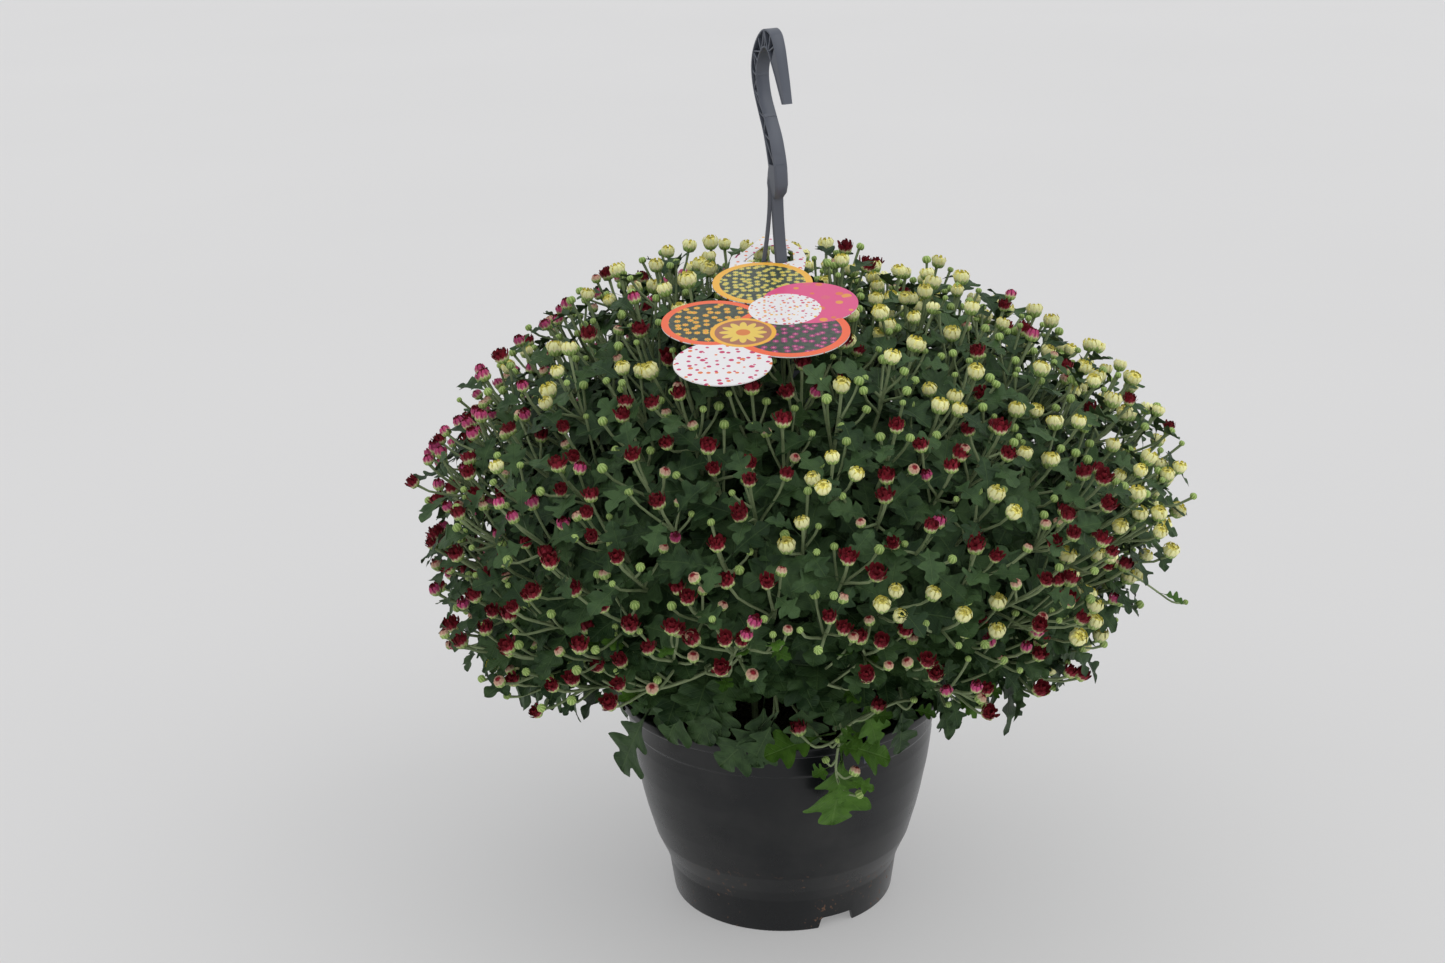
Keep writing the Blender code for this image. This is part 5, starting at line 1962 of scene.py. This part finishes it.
@dataclass
class Bush:
    """The three plants: woody stems, shoots, leaves, forked stalks and buds.

    A share runs from the dome's top, 0, to its lower edge, 1. The shoots fan out from the heart, and back
    off from the tag and the straps. A band is a middle azimuth and a width in degrees: where the buds end
    higher up, where bare shoots are cut shorter, and where the skirt is thin.
    """

    dome: Dome
    neighbours: Neighbours
    front: OpenFront
    palette: Palette
    seed: int = 7
    shoots: int = 310
    first_share: float = 0.003
    share_span: float = 0.965
    heart: Spot = (POT_X * 0.6, 0.0, 0.20)
    inner_z: float = 0.275
    retreats: int = 12
    retreat: float = 0.004
    tag_margin: float = 0.014
    strap_margin: float = 0.012
    stem_ring: float = 0.070
    stem_spread: float = 0.014
    stem_head_z: float = 0.212
    stem_depth: float = 0.030
    fork_depth: float = 0.048
    leaf_start: float = 0.012
    leaf_spacing: float = 0.0115
    leaves_per_shoot: int = 12
    leaf_size: float = 0.033
    leaf_growth: float = 0.029
    crown_spread: float = 0.027
    crown_high_z: float = 0.46
    extra_bud_z: float = 0.47
    rim: float = 0.93
    front_rise: float = 0.31
    front_band: Pair = (-90.0, 30.0)
    bare_band: Pair = (-88.0, 42.0)
    skirt_band: Pair = (-94.0, 46.0)
    widest: float = 0.311
    skirt_leaves: int = 58
    shaded_leaves: int = 150
    spray_shift: Vector = field(default_factory=lambda: Vector((0.0, -0.0132, 0.0047)))
    spray_shift_z: float = 0.265

    def __post_init__(self) -> None:
        """Start the tables that the plants grow into."""
        names = [name for name, _ in PLANTS]
        self.draw = random.Random(self.seed)
        self.leaves = {name: PointTable() for name in names}
        self.buds = {name: PointTable() for name in names}
        self.stalks = {name: StrandTable() for name in names}

    def stem_heads(self, name: str) -> list[Vector]:
        """Return where one plant's woody stems end above the soil."""
        azimuth = dict(PLANTS)[name]
        middle = POT_AXIS + UP * self.stem_head_z + polar(self.stem_ring, azimuth)
        return [middle + polar(self.stem_spread, azimuth + 120.0 * k) for k in range(3)]

    def nearest_head(self, name: str, place: Vector) -> Vector:
        """Return the head of a plant's woody stem that is nearest to a place."""
        return min(self.stem_heads(name), key=lambda head: (head - place).length)

    def rim_share(self, place: Vector) -> float:
        """Return how far down the dome buds grow: less far in front, where the plant is open."""
        middle, width = self.front_band
        return self.rim - self.front_rise * bell(turn_between(bearing(place), middle), 0.0, width)

    def add_woody_stems(self) -> None:
        """Stand each plant's woody stems in the soil."""
        for name, _ in PLANTS:
            for head in self.stem_heads(name):
                foot = Vector((head.x, head.y, SOIL_Z - self.stem_depth))
                self.stalks[name].add([foot, foot.lerp(head, 0.5), head + UP * 0.004], WOODY_STEM, 0.1)

    def add_bud(self, name: str, foot: Vector, axis: Vector, kind: Kind) -> None:
        """Set one bud on its stalk.

        Args:
            name: The plant.
            foot: Where the bud sits.
            axis: Which way it looks.
            kind: How far it has opened.
        """
        axis = (axis + random_direction(self.draw) * 0.22).normalized()
        self.buds[name].add(foot - axis * 0.0006, lie=axis, face=random_direction(self.draw),
                            size=self.draw.uniform(*BUD_WIDTHS[kind]), tone=self.draw.random(),
                            kind=int(kind),
                            shape=int(kind) * FORMS_EACH + self.draw.randrange(FORMS_EACH))

    def add_leaf(self, name: str, foot: Vector, lie: Vector, face: Vector, size: float,
                 shape: int | None = None, young: bool = False) -> None:
        """Set one leaf where it is clear of its neighbours.

        Args:
            name: The plant.
            foot: Where its stalk springs from.
            lie: The direction of its midrib.
            face: The direction that its upper side looks.
            size: Its length with its stalk.
            shape: The number of its shape, or nothing to draw one.
            young: Whether it has the brighter skin of a young leaf.
        """
        points = [foot + lie * size * part for part in (0.35, 0.7, 1.0)]
        if self.neighbours.clear(points, 0.003):
            number = self.draw.randrange(len(LEAF_BENDS)) if shape is None else shape
            self.leaves[name].add(foot, lie=lie, face=face, size=size, tone=self.draw.random(),
                                  kind=int(young), shape=number)

    def hang_leaf(self, index: int, foot: Vector, lie: Vector, face: Vector, size: float,
                  stem: bool = True, young: bool = False) -> None:
        """Hang one finer leaf low on the plant that it is nearest to.

        Args:
            index: Its number, which picks its shape.
            foot: Where its stalk springs from.
            lie: The direction of its midrib.
            face: The direction that its upper side looks.
            size: Its length with its stalk.
            stem: Whether a thin stem leads to it from the plant's heart.
            young: Whether it has the brighter skin of a young leaf.
        """
        name = plant_of(foot)
        self.add_leaf(name, foot, lie, face, size, len(LEAF_BENDS) + index % len(FINE_BENDS), young)
        if stem:
            head = self.nearest_head(name, foot)
            route = arc(head, head + UP * 0.03, foot - lie * 0.02 + UP * 0.012, foot, 6)
            self.stalks[name].add(route, LEAF_STEM, self.draw.random() * 0.6)

    def add_crown(self, name: str, fork: Vector, tip: Vector, rise: Vector, main: Kind) -> None:
        """Grow the forked stalks and the buds at the end of one shoot.

        Args:
            name: The plant.
            fork: Where the shoot begins to fork.
            tip: Where its middle bud sits.
            rise: The shoot's direction.
            main: The colour that it opens in.
        """
        draw = self.draw
        start = draw.uniform(0.0, 2.0 * math.pi)
        look = (rise * 0.45 + UP * 0.80).normalized()
        reach = (tip - fork).length
        route = arc(fork, fork + rise * reach * 0.40, tip - (look + rise) * reach * 0.16, tip, 5)
        self.stalks[name].add(route, MIDDLE_STALK, draw.random())
        self.add_bud(name, tip, look, main)
        for k in range(draw.choice((3, 4, 4, 5)) + (tip.z > self.extra_bud_z)):
            lean = round_about(rise, start + k * GOLDEN_ANGLE)
            spread = draw.uniform(0.40, 1.1) * self.crown_spread
            foot = tip + lean * spread - rise * draw.uniform(-0.003, 0.024)
            origin = fork.lerp(tip, draw.uniform(-0.45, 0.35))
            if (self.neighbours.over_tag(foot, 0.011) > 0.0 or not self.neighbours.clear([foot], 0.004)
                    or math.hypot(foot.x, foot.y) > self.widest):
                continue
            way = foot - origin
            route = arc(origin, origin + way * 0.30 + rise * way.length * 0.06,
                        foot - way * 0.16 - look * way.length * 0.16, foot, 5)
            self.stalks[name].add(route, SIDE_STALK, draw.random())
            kind = self.palette.side_kind(draw, main, tip.z > self.crown_high_z)
            self.add_bud(name, foot, look + lean * 0.30, kind)
            if draw.random() < 0.6:
                lie = (lean + rise * draw.uniform(0.2, 0.7)).normalized()
                self.add_leaf(name, origin, lie, rise + UP * 0.5, draw.uniform(0.018, 0.034))

    def add_shoot(self, index: int) -> None:
        """Grow one shoot from its woody stem to its crown of buds."""
        draw = self.draw
        share = self.first_share + self.share_span * (index + 0.5) / self.shoots
        angle = index * GOLDEN_ANGLE + draw.uniform(-0.03, 0.03)
        place, out = self.dome.at(share, angle)
        name = plant_of(place)
        spoke = (place - Vector(self.heart)).normalized()
        rise = (spoke * 0.75 + out * 0.30 + UP * 0.28).normalized()
        tip = place - out * draw.uniform(0.004, 0.024)
        budded = share < self.rim_share(place)
        if not budded:
            front = turn_between(bearing(place), self.bare_band[0]) < self.bare_band[1]
            depth = draw.uniform(0.34, 0.52) if front else draw.uniform(0.14, 0.30)
            tip = tip.lerp(POT_AXIS + UP * self.inner_z, depth)
        for _ in range(self.retreats):
            if (self.neighbours.over_tag(tip, self.tag_margin) <= 0.0
                    and self.neighbours.strap_distance(tip) > self.strap_margin):
                break
            tip -= rise * self.retreat
        fork = tip - rise * self.fork_depth * draw.uniform(0.85, 1.15)
        head = self.nearest_head(name, fork)
        flat = Vector((fork.x - POT_X, fork.y, 0.0)).normalized()
        route = arc(head, head + UP * 0.045 + flat * 0.020, fork - rise * 0.075, fork, 9)
        self.stalks[name].add(route, SHOOT, draw.random() * 0.7)
        kind = self.palette.main_kind(draw, place)
        if budded:
            self.add_crown(name, fork, tip, rise, kind)
        else:
            self.stalks[name].add([fork, fork.lerp(tip, 0.5), tip], BARE_TIP, draw.random())
        self.add_shoot_leaves(name, route + [tip], rise, out)

    def add_shoot_leaves(self, name: str, route: list[Vector], rise: Vector, out: Vector) -> None:
        """Set leaves spirally down one shoot, larger and flatter to the light the lower they are.

        Args:
            name: The plant.
            route: The shoot's points.
            rise: Its direction at the tip.
            out: The dome's outward direction there.
        """
        draw = self.draw
        start = draw.uniform(0.0, 2.0 * math.pi)
        for k in range(self.leaves_per_shoot):
            foot = walk_back(route, self.leaf_start + k * self.leaf_spacing * draw.uniform(0.85, 1.15))
            lean = round_about(rise, start + k * GOLDEN_ANGLE)
            low = min(1.0, k / 5.0)
            lie = lean + rise * draw.uniform(0.5, 0.9) * (1.0 - 0.85 * low) - UP * draw.uniform(0.0, 0.22)
            face = out * (0.4 + 0.9 * low) + rise * 0.3 + UP * 0.35 + random_direction(draw) * 0.3
            size = draw.uniform(0.85, 1.12) * (self.leaf_size + self.leaf_growth * low)
            lie.normalize()
            if not self.front.holds(foot) and not self.front.holds(foot + lie * size):
                self.add_leaf(name, foot, lie, face, size)

    def add_skirt(self) -> None:
        """Hang leaves over the pot's lip all the way round, fewer in front where single ones hang."""
        draw = self.draw
        for index in range(self.skirt_leaves):
            angle = 360.0 * index / self.skirt_leaves + draw.uniform(-4.0, 4.0) - 180.0
            flat = polar(1.0, angle)
            open_front = turn_between(angle, self.skirt_band[0]) < self.skirt_band[1]
            if open_front and index % 2:
                continue
            radii, heights = (((0.132, 0.142), (0.236, 0.254)) if open_front
                              else ((0.138, 0.160), (0.222, 0.250)))
            foot = POT_AXIS + flat * draw.uniform(*radii) + UP * draw.uniform(*heights)
            lie = (flat * (0.15 if open_front else draw.uniform(0.3, 0.8)) - UP * draw.uniform(0.5, 0.9)
                   + polar(draw.uniform(-0.4, 0.4), angle + 90.0)).normalized()
            face = flat + UP * 0.4 + random_direction(draw) * 0.3
            self.hang_leaf(index, foot, lie, face, draw.uniform(0.046, 0.064))

    def add_underside(self) -> None:
        """Hang shaded leaves behind the open space under the front of the dome."""
        draw = self.draw
        for index in range(self.shaded_leaves):
            angle = self.front.azimuth + draw.uniform(-self.front.half_width, self.front.half_width)
            z = draw.uniform(0.262, 0.352)
            flat = polar(1.0, angle)
            foot = Vector((POT_X, 0.0, z)) + flat * (self.front.reach(angle, z) - draw.uniform(0.038, 0.056))
            lie = (flat * draw.uniform(0.5, 0.9) - UP * draw.uniform(0.2, 0.6)
                   + polar(draw.uniform(-0.6, 0.6), angle + 90.0)).normalized()
            face = flat * 0.6 + UP * 0.8 + random_direction(draw) * 0.3
            self.hang_leaf(index, foot, lie, face, draw.uniform(0.042, 0.058), stem=index % 4 == 0)

    def add_low_leaves(self) -> None:
        """Hang the single leaves in front of the pot."""
        for index, leaf in enumerate(LOW_LEAVES):
            foot, tip = (POT_AXIS + polar(radius, azimuth, z) for azimuth, radius, z in (leaf.foot, leaf.tip))
            lie = tip - foot
            face = polar(1.0, leaf.foot[0]) + UP * leaf.upward
            self.hang_leaf(index, foot - lie.normalized() * 0.008, lie.normalized(), face,
                           lie.length * 1.16, young=leaf.young)

    def add_sprays(self) -> None:
        """Lay the stalks that stray from the dome."""
        for spray in SPRAYS:
            foot_azimuth = spray.route[0][0]
            points = [POT_AXIS + polar(radius, azimuth, z) for azimuth, radius, z in spray.route]
            if points[-1].z > self.spray_shift_z:
                points[1:] = [point + self.spray_shift for point in points[1:]]
            route = smooth_curve(points, 3)
            name = plant_of(route[0])
            self.stalks[name].add(route, Girth(spray.girth, spray.girth * 0.8, 1.3), 0.8)
            self.add_bud(name, route[-1], (route[-1] - route[-2]).normalized() + UP, spray.kind)
            lie = (route[-1] - route[0]).normalized() + polar(0.4, foot_azimuth)
            face = polar(1.0, foot_azimuth) + UP
            self.add_leaf(name, route[len(route) // 2], lie.normalized(), face, 0.024, young=True)

    def grow(self) -> None:
        """Grow all three plants."""
        self.add_woody_stems()
        for index in range(self.shoots):
            self.add_shoot(index)
        self.add_skirt()
        self.add_underside()
        self.add_low_leaves()
        self.add_sprays()

    def build(self, effects: Effects) -> list[Piece]:
        """Grow the plants and return their pieces."""
        self.grow()
        leaf_shapes = [leaf_shape(number, *bend) for number, bend in enumerate(LEAF_BENDS)]
        leaf_shapes += [leaf_shape(number, *bend, fine=True)
                        for number, bend in enumerate(FINE_BENDS, len(LEAF_BENDS))]
        bud_shapes = [form.shape(int(form.kind) * FORMS_EACH + number)
                      for form in BUD_FORMS for number in range(FORMS_EACH)]
        stalk_skin = STALK_SKIN.build(effects)
        leaf_skins = [skin.build(effects) for skin in LEAF_SKINS]
        bud_skins = [skin.build(effects) for skin in BUD_SKINS]
        pieces = []
        for name, _ in PLANTS:
            colour = name.split("_")[1]
            made = [
                scatter("leaves_" + colour, self.leaves[name], leaf_shapes, leaf_skins, "X"),
                scatter("buds_" + colour, self.buds[name], bud_shapes, bud_skins, "Z"),
                spin_strands("stalks_" + colour, self.stalks[name], stalk_skin, 5),
            ]
            pieces += [settle(piece, name, name) for piece in made]
        discard(leaf_shapes + bud_shapes)
        return pieces


# Studio

@dataclass
class Studio:
    """The floor, the soft light and the camera at the photograph's angle."""

    camera_place: Spot = (-0.020, -1.66891, 0.94422)
    yaw: float = -0.026801
    pitch: float = 0.337515
    roll: float = -0.020944
    focal_pixels: float = 2200.0
    photo_width: float = 1445.0
    sensor: float = 36.0
    clip: Pair = (0.05, 60.0)
    floor_size: float = 24.0
    lamp_distance: float = 3.0
    sky_colour: Colour = (0.955, 0.970, 1.0)
    sky_strength: float = 0.66

    def add_floor(self, effects: Effects) -> None:
        """Lay the floor."""
        half = self.floor_size / 2
        corners = [(-half, -half, 0.0), (half, -half, 0.0), (half, half, 0.0), (-half, half, 0.0)]
        add_object("studio_floor", corners, [(0, 1, 2, 3)], StudioFloor().build(effects))

    def add_camera(self) -> None:
        """Set the camera where the photograph was taken from."""
        data = bpy.data.cameras.new("camera")
        data.sensor_width = self.sensor
        data.sensor_fit = "HORIZONTAL"
        data.lens = self.focal_pixels / self.photo_width * self.sensor
        data.clip_start, data.clip_end = self.clip
        camera = bpy.data.objects.new("camera", data)
        bpy.context.scene.collection.objects.link(camera)
        camera.matrix_world = (
            Matrix.Translation(self.camera_place) @ Matrix.Rotation(-self.yaw, 4, "Z")
            @ Matrix.Rotation(math.pi / 2 - self.pitch, 4, "X") @ Matrix.Rotation(self.roll, 4, "Z"))
        bpy.context.scene.camera = camera

    def add_sun(self, name: str, towards: Vector, strength: float, spread: float) -> None:
        """Hang one even soft light that falls alike on all of the floor.

        Args:
            name: Its name.
            towards: The direction that it comes from.
            strength: Its strength.
            spread: How wide it looks, in degrees.
        """
        data = bpy.data.lights.new(name, "SUN")
        data.energy = strength
        data.angle = math.radians(spread)
        lamp = bpy.data.objects.new(name, data)
        bpy.context.scene.collection.objects.link(lamp)
        lamp.location = towards.normalized() * self.lamp_distance
        lamp.rotation_mode = "QUATERNION"
        lamp.rotation_quaternion = towards.to_track_quat("Z", "Y")

    def add_world(self) -> None:
        """Fill the studio with even pale light."""
        world = bpy.data.worlds.new("studio")
        world.use_nodes = True
        sky = world.node_tree.nodes["Background"]
        sky.inputs["Color"].default_value = (*self.sky_colour, 1.0)
        sky.inputs["Strength"].default_value = self.sky_strength
        bpy.context.scene.world = world
        bpy.context.scene.view_settings.view_transform = "Standard"
        bpy.context.scene.view_settings.look = "None"

    def build(self, effects: Effects) -> None:
        """Set up the whole studio."""
        self.add_floor(effects)
        self.add_world()
        self.add_sun("ceiling", Vector((0.10, -0.10, 1.0)), strength=0.58, spread=120.0)
        self.add_sun("window", Vector((0.9, -0.3, 0.9)), strength=0.38, spread=50.0)
        self.add_camera()


def main() -> None:
    """Load the frame, build every sub-assembly in order, and note the sizes."""
    logging.basicConfig(level=logging.INFO, format="%(message)s")
    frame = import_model()
    effects = Effects()
    Studio().build(effects)
    Pot().build(POT_PLASTIC.build(effects))
    Soil().build(PottingSoil().build(effects), frame["nodes"]["soil"])
    Hanger().build(HANGER_PLASTIC.build(effects))
    Tag().build(effects)
    Bush(Dome(), Neighbours(), OpenFront(), Palette()).build(effects)
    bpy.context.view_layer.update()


if __name__ == "__main__":
    main()
